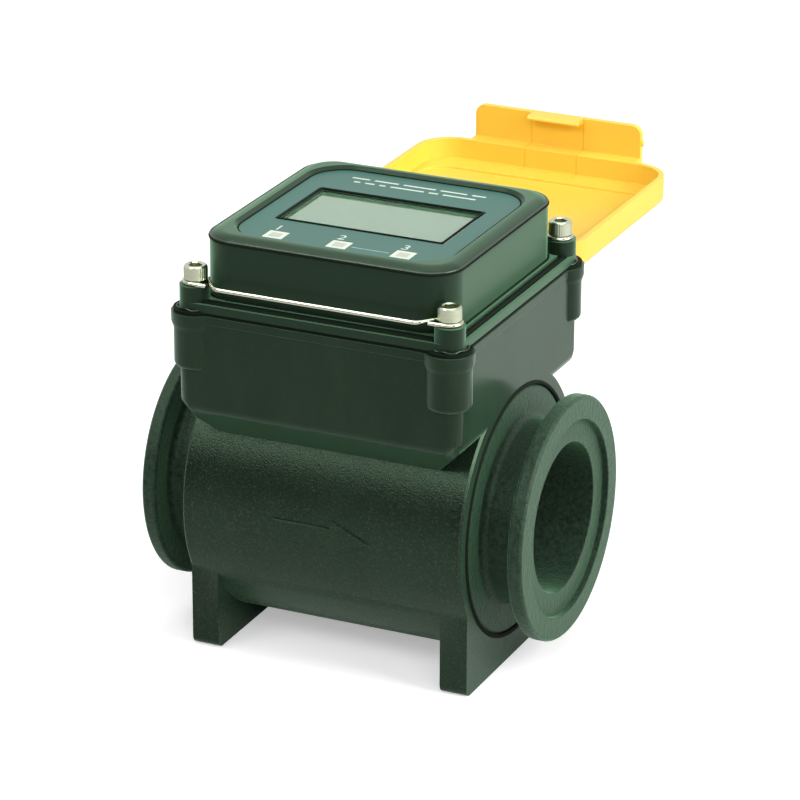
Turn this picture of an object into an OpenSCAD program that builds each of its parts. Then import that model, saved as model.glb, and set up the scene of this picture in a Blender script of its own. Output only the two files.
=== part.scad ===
// Manifold flow meter: a turbine in a moulded body between two clamp-flange fittings,
// with a battery powered display on top, under a flip cover that turns on a bent wire.
// The body is drawn from the middle of the pipe with its feet on the ground, and
// placed() moves all of it so that the origin is the middle of the inlet flange face.

/* [Pipe and flanges] */
// Distance between the two flange faces
face_to_face = 137.8; // [134:0.2:150]
// Bore of the pipe, all the way through
bore_d = 50.8; // [48:0.1:51]
// Outside diameter of the clamp flanges
flange_d = 82.55; // [80:0.05:84]
// Thickness of the clamp flanges
flange_t = 5.2; // [4.4:0.1:6.5]
// Diameter of the gasket seat sunk in each flange face
seat_d = 66.6; // [62:0.1:68]
// Depth of the gasket seat
seat_depth = 2.25; // [1.5:0.05:3]
// Outside diameter of the neck behind each flange
neck_d = 61.6; // [60:0.1:64]
// Diameter of the disc that closes the end of the body
disc_d = 84.0; // [82:0.1:85]
// Diameter of the spigot that goes into the body
spigot_d = 66.2; // [64:0.1:67]

/* [Body] */
// Length of the moulded body along the pipe
body_l = 100.6; // [96:0.2:104]
// Outside diameter of the barrel
barrel_d = 95.2; // [94:0.1:100]
// Diameter of the recess in each end of the barrel
recess_d = 86.1; // [85.6:0.1:88]
// Depth of the end recess
recess_depth = 8.0; // [6:0.1:9]
// Height of the barrel above the ground
barrel_lift = 3.8; // [2:0.1:8]
// Thickness of each foot plate
foot_t = 9.7; // [7:0.1:12]
// Width of each foot plate across the pipe
foot_w = 82.6; // [74:0.2:88]

/* [Lower housing] */
// Width of the square housing on the barrel
lower_w = 100.6; // [98:0.2:100.6]
// Height of its upright walls
lower_wall_h = 33.2; // [30:0.2:34]
// How far the sloping underside runs in and down
hopper_run = 11.3; // [9:0.1:13]
// Floor of the electronics pocket above the barrel
pocket_floor_t = 3.2; // [2:0.1:5]
// Depth of the electronics pocket
pocket_depth = 20.2; // [20:0.1:24]
// Thickness of the housing walls
lower_wall_t = 4.0; // [3:0.1:4.4]
// Thickness of the gasket between the housings
gasket_t = 1.1; // [0.8:0.1:2]

/* [Display housing] */
// Width of the shelf that the screws stand on, beside the display walls
shelf_w = 5.85; // [5.4:0.05:6.5]
// Corner radius of those walls
display_r = 11.2; // [9:0.1:12]
// Thickness of those walls
display_wall_t = 2.5; // [2:0.1:3]
// Thickness of its screwed flange
screw_flange_t = 2.7; // [2:0.1:4]
// Height of the walls above the flange ledge
display_wall_h = 19.8; // [19:0.1:26]
// Height of the four screw bosses above the gasket
boss_h = 7.8; // [7:0.1:9]
// Height of the bezel's crest above the walls
crest_h = 1.6; // [1.2:0.1:2.4]
// Width of the bezel around the label panel
bezel_w = 6.45; // [5.9:0.05:7]
// Corner radius of the label panel
panel_r = 12.5; // [10:0.1:14]
// Width of the label beside the window
window_side = 7.7; // [6:0.1:11]
// Width of the label before and behind the window
window_end = 20.5; // [19.5:0.1:23]
// Distance from the label's front edge to the row of touch pads
pad_from_front = 6.4; // [5.5:0.1:8]
// Distance from the label's side to the outer touch pads
pad_from_side = 15.34; // [14:0.01:20]

/* [Screws and wires] */
// Distance from the housing's sides to the four screws
screw_inset = 5.3; // [5:0.1:5.7]
// Shank diameter of the housing screws
screw_d = 4.83; // [4:0.01:5]
// Head diameter of the housing screws
head_d = 7.92; // [7:0.01:8.4]
// Length of the housing screws under the head
screw_l = 22.2; // [19:0.1:23]
// Diameter of the two bent wires
wire_d = 1.6; // [1.4:0.05:1.8]
// How far the latch wire runs before its screws
latch_reach = 5.2; // [4.8:0.1:6]
// How far the hinge wire runs behind its screws
hinge_reach = 4.3; // [4:0.1:4.8]

/* [Flip cover] */
// Gap between the closed cover and the sides of the display walls
cover_side_gap = 0.75; // [0.5:0.05:1]
// Height of the cover from rim to top
cover_h = 10.0; // [9.8:0.1:12]
// Thickness of the cover walls
cover_t = 2.0; // [1.6:0.1:2.1]
// Corner radius of the cover
cover_r = 13.5; // [13:0.1:16]
// Depth from the rim to the step that rests on the bezel
cover_step_depth = 7.2; // [7:0.1:8]
// Width of the cover beside the latch tab
tab_side = 15.2; // [14:0.1:22]
// Thickness of the latch tab
tab_t = 2.4; // [2:0.1:3]
// Width of the hook in the middle of the tab
hook_w = 20.0; // [14:0.5:24]
// Distance from the cover's side to the middle of each hinge clip
clip_side = 19.2; // [18.5:0.1:27]
// Width of each hinge clip
clip_w = 10.0; // [8:0.5:12]

/* [Turbine] */
// Bore of the chamber that the rotor turns in
chamber_d = 49.6; // [49.4:0.1:50]
// Number of rotor blades
blades = 6; // [4:1:8]
// Diameter over the blade tips
rotor_d = 48.6; // [44:0.1:49]
// Diameter of the rotor hub
hub_d = 18.0; // [14:0.1:20]
// Length of the rotor hub
hub_l = 18.0; // [14:0.1:19]
// Thickness of a blade
blade_t = 1.8; // [1.2:0.1:2.4]
// Turn of each blade along its length, in degrees
blade_twist = 40; // [25:1:55]
// Diameter of the rotor shaft
shaft_d = 3.2; // [3:0.05:4]
// Number of vanes in each bearing support
vanes = 5; // [3:1:6]

/* [Hidden] */
$fn = 64;

// Clearances
over = 1.0;
slip_gap = 0.05;
fit_gap = 0.1;
free_gap = 0.3;

// Widths that follow from the lower housing
display_w = lower_w - 2 * shelf_w;
panel_w = display_w - 2 * bezel_w;
window_w = panel_w - 2 * window_side;
window_d = panel_w - 2 * window_end;
pad_y = panel_w / 2 - pad_from_front;
pad_pitch = panel_w / 2 - pad_from_side;
screw_at = lower_w / 2 - screw_inset;
latch_y = screw_at + latch_reach;
hinge_y = screw_at + hinge_reach;
cover_w = display_w + 2 * (cover_side_gap + cover_t);
tab_w = cover_w - 2 * tab_side;
clip_at = cover_w / 2 - clip_side;

// Levels above the ground
axis_z = barrel_d / 2 + barrel_lift;
barrel_top_z = axis_z + barrel_d / 2;
pocket_z = barrel_top_z + pocket_floor_t;
lower_top_z = pocket_z + pocket_depth;
lower_base_z = lower_top_z - lower_wall_h;
flange_base_z = lower_top_z + gasket_t;
flange_top_z = flange_base_z + screw_flange_t;
ledge_rise = 0.6;
ledge_z = flange_top_z + ledge_rise;
boss_top_z = flange_base_z + boss_h;
seam_z = ledge_z + display_wall_h;
crest_z = seam_z + crest_h;
panel_rise = 0.3;
panel_z = seam_z + panel_rise;
head_base_z = boss_top_z + wire_d;

// Body
recess_r = recess_d / 2;
disc_r = disc_d / 2;
barrel_edge = 0.8;
chamber_l = 24.0;
support_l = 18.0;
support_d = 54.8;
support_end_x = chamber_l / 2 + support_l;
recess_floor_x = body_l / 2 - recess_depth;
foot_edge_r = 3.0;
lower_r = 5.0;
lobe_r = 7.5;
lobe_lip = 0.8;
lobe_lip_h = 3.4;
lobe_drop = 19.2;
lobe_edge = 1.8;
lobe_blend = 2.4;
hopper_r = 4.6;
wall_lip = 0.25;
wall_lip_h = 2.6;
post_r = 7.5;
pocket_r = 4.0;
well_d = 16.0;
well_wall_t = 3.5;
well_z = axis_z + chamber_d / 2 + well_wall_t;
arrow_back = 16.8;
arrow_neck = 4.2;
arrow_tip = 17.4;
arrow_shaft_w = 6.2;
arrow_head_w = 11.8;
arrow_depth = 0.9;

// Fittings
rim_edge = 0.8;
cove_r = 2.8;
oring_d = 2.1;
oring_groove_w = 3.0;
oring_from_end = 4.0;
seal_sink = 0.6;

// Supports and rotor
vane_t = 1.6;
vane_l = 14.0;
vane_root = 0.8;
support_hub_d = 13.0;
nose_r = 6.0;
bearing_d = 6.0;
bearing_l = 8.0;
washer_d = 7.0;
washer_t = 0.8;
blade_l = 16.0;
magnet_d = 4.0;
magnet_l = 5.0;
magnet_sink = 0.5;
bearing_x = hub_l / 2 + washer_t + free_gap;

// Pickup coil
coil_h = 16.0;
coil_flange_t = 1.2;
coil_core_d = 6.0;
winding_d = 14.0;

// Battery
cell_d = 17.0;
cell_l = 34.5;
button_d = 6.0;
button_h = 1.0;
tray_floor_t = 1.4;
tray_wall_t = 1.6;
tray_h = 12.0;
tray_side_t = 0.7;
tray_gap = 0.4;
contact_t = 0.6;
contact_w = 9.0;

// Display
rim_w = 1.2;
moat_w = 3.0;
moat_depth = 1.8;
moat_floor_r = 1.0;
wall_proud = 0.3;
plug_depth = 2.4;
plug_inset = 1.25;
crest_inset = 4.3;
bezel_slope = 1.3;
label_t = 0.8;
window_r = 1.0;
window_border = 0.9;
glass_drop = 1.1;
glass_lip = 2.1;
glass_lip_t = 1.2;
lcd_margin = 1.6;
lcd_t = 3.2;
lcd_glass_t = 1.1;
pad_w = 7.0;
pad_d = 6.8;
pin_d = 2.0;
board_t = 1.6;
board_gap = 2.95;
board_w = display_w - 2 * (display_wall_t + board_gap);
board_r = 6.0;
board_drop = 9.3;
standoff_side = 5.0;
standoff_end = 13.5;
standoff_d = 5.0;
board_screw_d = 2.2;
board_screw_l = 6.0;
board_head_d = 4.4;
board_head_h = 1.3;
chip_w = 9.0;
chip_h = 1.4;
chip_x = 14.0;
chip_y = 8.0;

// Screws and wires
head_h = 4.83;
head_edge = 0.5;
socket_w = 3.97;
socket_depth = 2.6;
insert_d = 6.35;
insert_l = 9.5;
screw_hole_d = screw_d + 0.6;
screw_hole_end = 2.0;
wire_from_screw = 9.3;
wire_run = screw_at - wire_from_screw;
eye_r = 3.8;
wire_end = 5.6;
hinge_rise = 1.4;
wire_bend = 1.6;
eye_steps = 20;
slant_shares = [0.3, 0.55, 0.75];
wire_z = boss_top_z + wire_d / 2;
hinge_z = wire_z + hinge_rise;

// Cover, in its closed place
cover_rim_z = crest_z + free_gap - cover_step_depth;
cover_top_z = cover_rim_z + cover_h;
cover_back_gap = 1.3;
cover_front_gap = 0.55;
cover_back_y = hinge_y - cover_back_gap;
cover_front_y = -display_w / 2 - cover_front_gap - cover_t;
cover_mid_y = (cover_back_y + cover_front_y) / 2;
cover_half_y = (cover_back_y - cover_front_y) / 2;
cover_step_w = 10.6;
cover_step_side = 3.0;
cover_step_r = 9.0;
cover_panel_depth = 0.8;
cover_edge_r = 2.4;
tab_front_y = -latch_y - wire_d / 2 - free_gap;
hook_gap = 0.2;
hook_h = 1.6;
hook_in = 5.0;
hook_lead = 1.0;
tab_r = 3.5;
clip_r = 2.3;
clip_arm_t = 2.2;
clip_slot = 1.2;

ink = [0.11, 0.13, 0.12];
gloss = [0.07, 0.09, 0.085];
rubber = [0.03, 0.03, 0.03];
steel = [0.76, 0.76, 0.74];
yellow = [1.0, 0.76, 0.16];
teal = [0.25, 0.33, 0.34];
brass = [0.75, 0.6, 0.3];
white = [0.9, 0.9, 0.88];
green = [0.1, 0.35, 0.2];
copper = [0.7, 0.4, 0.2];

function arc(x, z, r, from, to, steps) =
    [for (i = [0 : steps]) let (a = from + (to - from) * i / steps) [x + r * cos(a), z + r * sin(a)]];

// Moves the meter from the middle of the pipe to its own origin
module placed() {
    translate([face_to_face / 2, 0, -axis_z]) children();
}

// A rectangle with round corners, given by its half sizes
module plan(half_x, half_y, r) {
    for (sx = [-1, 1], sy = [-1, 1]) translate([sx * (half_x - r), sy * (half_y - r)]) circle(r = r);
    square([2 * half_x, 2 * (half_y - r)], center = true);
    square([2 * (half_x - r), 2 * half_y], center = true);
}

// An upright block on that rectangle between two levels
module block(half_x, half_y, r, from_z, to_z) {
    translate([0, 0, from_z]) linear_extrude(height = to_z - from_z) plan(half_x, half_y, r);
}

// The same block with an edge that follows points of [outset, level], from bottom to top
module moulded(half_x, half_y, r, edge) {
    last = len(edge) - 1;
    for (sx = [-1, 1], sy = [-1, 1]) translate([sx * (half_x - r), sy * (half_y - r)])
        rotate_extrude() polygon(concat([[0, edge[0][1]]],
            [for (p = edge) [r + p[0], p[1]]], [[0, edge[last][1]]]));
    for (side = [[half_x, half_y, 90], [half_y, half_x, 0]]) rotate(side[2]) rotate([90, 0, 0])
        linear_extrude(height = 2 * (side[0] - r), center = true)
            polygon(concat([for (p = edge) [side[1] + p[0], p[1]]],
                [for (i = [last : -1 : 0]) [-side[1] - edge[i][0], edge[i][1]]]));
}

module at_screws() {
    for (sx = [-1, 1], sy = [-1, 1]) translate([sx * screw_at, sy * screw_at]) children();
}

// Turns a profile of [distance along the pipe, radius] round the pipe
module round_pipe() {
    translate([0, 0, axis_z]) rotate([0, 90, 0]) rotate([0, 0, 90])
        rotate_extrude() mirror([1, 0]) rotate(90) children();
}

module along_pipe(d, from_x, to_x) {
    translate([from_x, 0, axis_z]) rotate([0, 90, 0]) cylinder(d = d, h = to_x - from_x);
}

// Draws its children at the outlet, or mirrored at the inlet
module at_end(side) {
    if (side > 0) children();
    else mirror([1, 0, 0]) children();
}

// Body

module barrel() {
    half = body_l / 2;
    round_pipe() polygon([[-half, 0], [-half, barrel_d / 2 - barrel_edge],
        [-half + barrel_edge, barrel_d / 2], [half - barrel_edge, barrel_d / 2],
        [half, barrel_d / 2 - barrel_edge], [half, 0]]);
}

module foot() {
    translate([body_l / 2 - foot_t, 0, 0]) rotate([90, 0, 90]) linear_extrude(height = foot_t) {
        translate([-foot_w / 2, foot_edge_r]) square([foot_w, axis_z - foot_edge_r]);
        translate([-foot_w / 2 + foot_edge_r, 0]) square([foot_w - 2 * foot_edge_r, axis_z]);
        for (s = [-1, 1]) translate([s * (foot_w / 2 - foot_edge_r), foot_edge_r]) circle(r = foot_edge_r);
    }
}

// One of the two crossing wedges whose common part is the sloping underside, with the
// edge under the walls rounded off
hopper_turn_z = lower_base_z + hopper_r * tan(22.5);

module hopper_wedge() {
    half = lower_w / 2;
    edge = arc(half - hopper_r, hopper_turn_z, hopper_r, -45, 0, 5);
    rotate([90, 0, 0]) linear_extrude(height = lower_w, center = true)
        polygon(concat([[hopper_run - half, lower_base_z - hopper_run],
            [half - hopper_run, lower_base_z - hopper_run]], edge, [[half, hopper_turn_z + over],
            [-half, hopper_turn_z + over]], [for (i = [5 : -1 : 0]) [-edge[i][0], edge[i][1]]]));
}

// A corner column for a screw, with a lip at its top and a rounded foot
module lobe() {
    low_z = lower_top_z - lobe_drop;
    lip_z = lower_top_z - lobe_lip_h;
    rotate_extrude() polygon(concat([[0, low_z]],
        arc(lobe_r - lobe_edge, low_z + lobe_edge, lobe_edge, -90, 0, 5),
        [[lobe_r, lip_z - lobe_blend], [lobe_r + lobe_lip, lip_z], [lobe_r + lobe_lip, lower_top_z],
            [0, lower_top_z]]));
}

module lower_housing() {
    half = lower_w / 2;
    block(half, half, lower_r, hopper_turn_z, lower_top_z);
    moulded(half, half, lower_r, [[0, lower_top_z - wall_lip_h - wall_lip],
        [wall_lip, lower_top_z - wall_lip_h], [wall_lip, lower_top_z]]);
    intersection() {
        hopper_wedge();
        rotate(90) hopper_wedge();
        block(half, half, lower_r, lower_base_z - hopper_run - over, hopper_turn_z + over);
    }
    at_screws() lobe();
}

// Hollows of the body along the pipe, from the middle to one end
module pipe_hollow() {
    step_x = chamber_l / 2;
    round_pipe() polygon([[-over, 0], [-over, chamber_d / 2], [step_x, chamber_d / 2],
        [step_x, support_d / 2], [support_end_x, support_d / 2],
        [support_end_x, spigot_d / 2 + slip_gap], [recess_floor_x, spigot_d / 2 + slip_gap],
        [recess_floor_x, recess_r], [face_to_face / 2, recess_r], [face_to_face / 2, 0]]);
}

module pocket() {
    half = lower_w / 2 - lower_wall_t;
    difference() {
        block(half, half, pocket_r, pocket_z, lower_top_z + over);
        at_screws() translate([0, 0, pocket_z - over]) cylinder(r = post_r, h = pocket_depth + 3 * over);
    }
    translate([0, 0, well_z]) cylinder(d = well_d, h = pocket_z + over - well_z);
}

module flow_arrow() {
    translate([0, -barrel_d / 2 + arrow_depth, axis_z]) rotate([90, 0, 0])
        linear_extrude(height = arrow_depth + over)
            polygon([[-arrow_back, -arrow_shaft_w / 2], [arrow_neck, -arrow_shaft_w / 2],
                [arrow_neck, -arrow_head_w / 2], [arrow_tip, 0], [arrow_neck, arrow_head_w / 2],
                [arrow_neck, arrow_shaft_w / 2], [-arrow_back, arrow_shaft_w / 2]]);
}

module meter_body() color(ink) placed() difference() {
    union() {
        barrel();
        for (side = [-1, 1]) at_end(side) foot();
        lower_housing();
    }
    for (side = [-1, 1]) at_end(side) pipe_hollow();
    pocket();
    flow_arrow();
    at_screws() {
        translate([0, 0, lower_top_z - insert_l]) cylinder(d = insert_d + slip_gap, h = insert_l + over);
        hole_z = head_base_z - screw_l - screw_hole_end;
        translate([0, 0, hole_z]) cylinder(d = screw_hole_d, h = lower_top_z - hole_z);
    }
}

// Fittings

module fitting() color(ink) placed() {
    disc_x = body_l / 2;
    face_x = face_to_face / 2;
    back_x = face_x - flange_t;
    groove_x = support_end_x + oring_from_end;
    groove_r = spigot_d / 2 + slip_gap - oring_d;
    round_pipe() polygon(concat(
        [[support_end_x, bore_d / 2], [support_end_x, spigot_d / 2], [groove_x, spigot_d / 2],
            [groove_x, groove_r], [groove_x + oring_groove_w, groove_r],
            [groove_x + oring_groove_w, spigot_d / 2], [recess_floor_x, spigot_d / 2],
            [recess_floor_x, disc_r], [disc_x - rim_edge, disc_r], [disc_x, disc_r - rim_edge]],
        arc(disc_x + cove_r, neck_d / 2 + cove_r, cove_r, 180, 270, 6),
        arc(back_x - cove_r, neck_d / 2 + cove_r, cove_r, -90, 0, 6),
        [[back_x, flange_d / 2 - rim_edge], [back_x + rim_edge, flange_d / 2],
            [face_x - rim_edge, flange_d / 2], [face_x, flange_d / 2 - rim_edge],
            [face_x, seat_d / 2], [face_x - seat_depth, seat_d / 2], [face_x - seat_depth, bore_d / 2]]));
}

module inlet_flange() placed_end(-1) fitting();
module outlet_flange() placed_end(1) fitting();

// Mirrors a placed piece about the middle of the meter for the inlet end
module placed_end(side) {
    if (side > 0) children();
    else translate([face_to_face, 0, 0]) mirror([1, 0, 0]) children();
}

module end_seal() color(rubber) placed() difference() {
    along_pipe(recess_d, recess_floor_x, body_l / 2 - seal_sink);
    along_pipe(disc_d, recess_floor_x - over, body_l / 2 + over);
}

module inlet_seal() placed_end(-1) end_seal();
module outlet_seal() placed_end(1) end_seal();

module oring() color(rubber) placed() round_pipe()
    translate([support_end_x + oring_from_end + oring_groove_w / 2, spigot_d / 2 + slip_gap - oring_d / 2])
        circle(d = oring_d - slip_gap);

module inlet_oring() placed_end(-1) oring();
module outlet_oring() placed_end(1) oring();

// Bearing supports

module support() color(white) placed() {
    ring_x = chamber_l / 2 + slip_gap;
    difference() {
        along_pipe(support_d - 2 * slip_gap, ring_x, support_end_x - slip_gap);
        along_pipe(chamber_d, ring_x - over, support_end_x + over);
    }
    hub_x = bearing_x + slip_gap * 2;
    hub_end_x = support_end_x - nose_r;
    difference() {
        union() {
            along_pipe(support_hub_d, hub_x, hub_end_x);
            round_pipe() polygon(concat([[hub_end_x - slip_gap, 0]],
                [for (a = [90 : -10 : 0]) [hub_end_x + nose_r * cos(a), support_hub_d / 2 * sin(a)]]));
            vanes_x = (ring_x + support_end_x - vane_l) / 2;
            for (i = [0 : vanes - 1]) translate([vanes_x, 0, axis_z]) rotate([i * 360 / vanes, 0, 0])
                translate([0, -vane_t / 2, support_hub_d / 2 - over])
                    cube([vane_l, vane_t, (chamber_d - support_hub_d) / 2 + over + vane_root]);
        }
        along_pipe(bearing_d + slip_gap, hub_x - over, bearing_x + bearing_l + over);
    }
}

module inlet_support() placed_end(-1) support();
module outlet_support() placed_end(1) support();

module bearing() color(brass) placed() difference() {
    along_pipe(bearing_d, bearing_x, bearing_x + bearing_l);
    along_pipe(shaft_d + 2 * slip_gap, bearing_x - over, bearing_x + bearing_l + over);
}

module inlet_bearing() placed_end(-1) bearing();
module outlet_bearing() placed_end(1) bearing();

// Rotor

module at_magnets() {
    for (s = [-1, 1]) rotate([0, 0, 90 / blades]) translate([s * hub_d / 2, 0, 0])
        rotate([0, -s * 90, 0]) children();
}

module on_axis() {
    placed() translate([0, 0, axis_z]) rotate([0, 90, 0]) children();
}

module rotor() color(white) on_axis() difference() {
    union() {
        cylinder(d = hub_d, h = hub_l, center = true);
        for (i = [0 : blades - 1]) rotate(i * 360 / blades)
            linear_extrude(height = blade_l, twist = blade_twist, center = true, slices = 8, $fn = 12)
                translate([hub_d / 2 - over, -blade_t / 2])
                    square([sqrt(pow(rotor_d / 2, 2) - pow(blade_t / 2, 2)) - hub_d / 2 + over, blade_t]);
    }
    cylinder(d = shaft_d, h = hub_l + 2 * over, center = true);
    at_magnets() translate([0, 0, -over]) cylinder(d = magnet_d, h = magnet_l + over);
}

module rotor_shaft() color(steel) on_axis()
    cylinder(d = shaft_d, h = 2 * (bearing_x + bearing_l - free_gap), center = true);

module rotor_magnets() color(steel) on_axis() at_magnets() translate([0, 0, magnet_sink])
    cylinder(d = magnet_d, h = magnet_l - magnet_sink);

module thrust_washers() color(steel) on_axis() for (s = [-1, 1])
    translate([0, 0, s * (hub_l + washer_t) / 2]) difference() {
        cylinder(d = washer_d, h = washer_t, center = true);
        cylinder(d = shaft_d, h = washer_t + over, center = true);
    }

// Pickup coil

module coil_bobbin() color(white) placed() translate([0, 0, well_z]) {
    flange_d = well_d - 4 * fit_gap;
    cylinder(d = coil_core_d, h = coil_h);
    cylinder(d = flange_d, h = coil_flange_t);
    translate([0, 0, coil_h - coil_flange_t]) cylinder(d = flange_d, h = coil_flange_t);
}

module coil_winding() color(copper) placed()
    translate([0, 0, well_z + coil_flange_t]) difference() {
        cylinder(d = winding_d, h = coil_h - 2 * coil_flange_t);
        translate([0, 0, -over]) cylinder(d = coil_core_d, h = coil_h + over);
    }

// A battery cell before the coil and another behind it, on the pocket floor

tray_half_x = cell_l / 2 + button_h + contact_t + tray_wall_t;
tray_half_y = cell_d / 2 + fit_gap + tray_side_t;
tray_y = well_d / 2 + tray_half_y + tray_gap;
cell_z = pocket_z + tray_floor_t + cell_d / 2;

module at_cells() {
    for (s = [-1, 1]) translate([0, s * tray_y, cell_z]) rotate([0, s * 90, 0]) children();
}

module battery_holder() color(ink) placed() for (s = [-1, 1]) translate([0, s * tray_y, 0]) difference() {
    inner = tray_half_x - tray_wall_t;
    translate([-tray_half_x, -tray_half_y, pocket_z]) cube([2 * tray_half_x, 2 * tray_half_y, tray_h]);
    translate([-inner, 0, cell_z]) rotate([0, 90, 0]) cylinder(d = cell_d + 2 * fit_gap, h = 2 * inner);
}

module battery_cells() color(teal) placed() at_cells() {
    translate([0, 0, -cell_l / 2]) cylinder(d = cell_d, h = cell_l);
    translate([0, 0, cell_l / 2]) cylinder(d = button_d, h = button_h);
}

module battery_contacts() color(steel) placed() for (sx = [-1, 1], sy = [-1, 1])
    translate([sx * (tray_half_x - tray_wall_t - contact_t / 2), sy * tray_y, cell_z])
        cube([contact_t, contact_w, contact_w], center = true);

// Gasket and inserts

module housing_gasket() color(rubber) placed() difference() {
    union() {
        block(lower_w / 2 - free_gap, lower_w / 2 - free_gap, lower_r, lower_top_z, flange_base_z);
        at_screws() translate([0, 0, lower_top_z]) cylinder(r = lobe_r, h = gasket_t);
    }
    difference() {
        half = lower_w / 2 - lower_wall_t;
        block(half, half, pocket_r, lower_top_z - over, flange_base_z + over);
        at_screws() translate([0, 0, lower_top_z - 2 * over]) cylinder(r = post_r, h = gasket_t + 4 * over);
    }
    at_screws() translate([0, 0, lower_top_z - over])
        cylinder(d = insert_d + fit_gap, h = gasket_t + 2 * over);
}

module threaded_inserts() color(brass) placed() at_screws() translate([0, 0, lower_top_z - insert_l])
    difference() {
        cylinder(d = insert_d, h = insert_l);
        translate([0, 0, -over]) cylinder(d = screw_d + slip_gap, h = insert_l + 2 * over);
    }

// Display housing

// A trough beside each wall, behind a thin rim, from boss to boss
module moat() {
    mid = lower_w / 2 - rim_w - moat_w / 2;
    reach = lower_w / 2 - lower_r;
    for (turn = [0 : 90 : 270]) rotate(turn) translate([0, -mid, ledge_z]) rotate([90, 0, 90])
        linear_extrude(height = 2 * reach, center = true) {
            translate([-moat_w / 2, moat_floor_r - moat_depth]) square([moat_w, moat_depth + over]);
            translate([moat_floor_r - moat_w / 2, -moat_depth])
                square([moat_w - 2 * moat_floor_r, moat_depth]);
            for (s = [-1, 1]) translate([s * (moat_w / 2 - moat_floor_r), moat_floor_r - moat_depth])
                circle(r = moat_floor_r);
        }
}

module display_housing() color(gloss) placed() difference() {
    half = lower_w / 2;
    wall = display_w / 2;
    union() {
        difference() {
            union() {
                block(half, half, lower_r, flange_base_z, flange_top_z);
                block(half - rim_w, half - rim_w, lower_r, flange_base_z, ledge_z);
            }
            moat();
        }
        block(wall, wall, display_r, flange_base_z, seam_z);
        for (sx = [-1, 1], sy = [-1, 1])
            translate([sx * (half - lower_r), sy * (half - lower_r), flange_base_z])
                cylinder(r = lower_r, h = boss_h);
    }
    inner = wall - display_wall_t;
    block(inner, inner, display_r - display_wall_t, flange_base_z - over, seam_z + over);
    seat = wall - plug_inset;
    block(seat, seat, display_r - plug_inset, seam_z - plug_depth, seam_z + over);
    at_screws() translate([0, 0, flange_base_z - over]) cylinder(d = screw_hole_d, h = boss_h + 2 * over);
}

module at_pads() {
    for (i = [-1 : 1]) translate([i * pad_pitch, -pad_y]) children();
}

module at_standoffs() {
    at_x = board_w / 2 - standoff_side;
    at_y = board_w / 2 - standoff_end;
    for (sx = [-1, 1], sy = [-1, 1]) translate([sx * at_x, sy * at_y]) children();
}

plug_base_z = seam_z - plug_depth;
label_base_z = panel_z - label_t;
glass_z = panel_z - glass_drop;
board_top_z = seam_z - board_drop;

module display_bezel() color(gloss) placed() {
    half = display_w / 2 - wall_proud;
    rise = crest_z - seam_z;
    bow = (crest_inset * crest_inset + rise * rise) / (2 * rise);
    difference() {
        union() {
            plug = display_w / 2 - plug_inset - slip_gap;
            block(plug, plug, display_r - plug_inset - slip_gap, plug_base_z, seam_z);
            moulded(half, half, display_r - wall_proud,
                [for (i = [0 : 8]) let (x = crest_inset * i / 8)
                    [-x, seam_z + sqrt(bow * bow - pow(crest_inset - x, 2)) - (bow - rise)]]);
        }
        panel = panel_w / 2;
        moulded(panel, panel, panel_r, concat([[0, label_base_z], [0, panel_z]],
            [[bezel_slope, crest_z], [bezel_slope + over, crest_z + over]]));
        block(window_w / 2 - window_border, window_d / 2 - window_border, window_r,
            plug_base_z - over, crest_z + over);
        at_pads() translate([0, 0, plug_base_z - over])
            cylinder(d = pin_d + 2 * fit_gap, h = plug_depth + 2 * over);
    }
    at_standoffs() difference() {
        translate([0, 0, board_top_z]) cylinder(d = standoff_d, h = plug_base_z - board_top_z);
        translate([0, 0, board_top_z - over])
            cylinder(d = board_screw_d + fit_gap, h = board_screw_l - board_t + over + fit_gap);
    }
}

module label_panel() color(teal) placed() difference() {
    half = panel_w / 2 - slip_gap;
    block(half, half, panel_r - slip_gap, label_base_z, panel_z);
    block(window_w / 2, window_d / 2, window_r, label_base_z - over, panel_z + over);
    at_pads() translate([0, 0, label_base_z + label_t / 2])
        cube([pad_w + 2 * slip_gap, pad_d + 2 * slip_gap, label_t + over], center = true);
}

module display_window() color(white, 0.4) placed() {
    hx = window_w / 2 - window_border - fit_gap;
    hy = window_d / 2 - window_border - fit_gap;
    block(hx, hy, window_r, plug_base_z - glass_lip_t, glass_z);
    block(hx + glass_lip, hy + glass_lip, window_r, plug_base_z - glass_lip_t, plug_base_z);
}

lcd_top_z = plug_base_z - glass_lip_t - fit_gap;

module lcd_module() color([0.55, 0.6, 0.53]) placed() {
    hx = window_w / 2 + lcd_margin;
    hy = window_d / 2 + lcd_margin;
    block(hx, hy, window_r, lcd_top_z - lcd_t, lcd_top_z - lcd_glass_t);
    block(hx - lcd_margin, hy - lcd_margin, window_r, lcd_top_z - lcd_t, lcd_top_z);
}

module touch_contacts() color(white) placed() at_pads() {
    translate([0, 0, label_base_z + (label_t - slip_gap) / 2])
        cube([pad_w, pad_d, label_t - slip_gap], center = true);
    translate([0, 0, board_top_z]) cylinder(d = pin_d, h = label_base_z - board_top_z);
}

module circuit_board() color(green) placed() difference() {
    union() {
        block(board_w / 2, board_w / 2, board_r, board_top_z - board_t, board_top_z);
        for (s = [-1, 1]) translate([s * chip_x, -chip_y, board_top_z - board_t - chip_h / 2])
            cube([chip_w, chip_w, chip_h], center = true);
    }
    at_standoffs() translate([0, 0, board_top_z - board_t - over])
        cylinder(d = board_screw_d + 2 * fit_gap, h = board_t + 2 * over);
}

module board_screws() color(steel) placed() at_standoffs() {
    base_z = board_top_z - board_t;
    translate([0, 0, base_z]) cylinder(d = board_screw_d, h = board_screw_l);
    difference() {
        translate([0, 0, base_z - board_head_h]) cylinder(d = board_head_d, h = board_head_h);
        translate([0, 0, base_z - board_head_h - over])
            cylinder(d = board_screw_d, h = over + board_head_h / 2, $fn = 6);
    }
}

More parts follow.
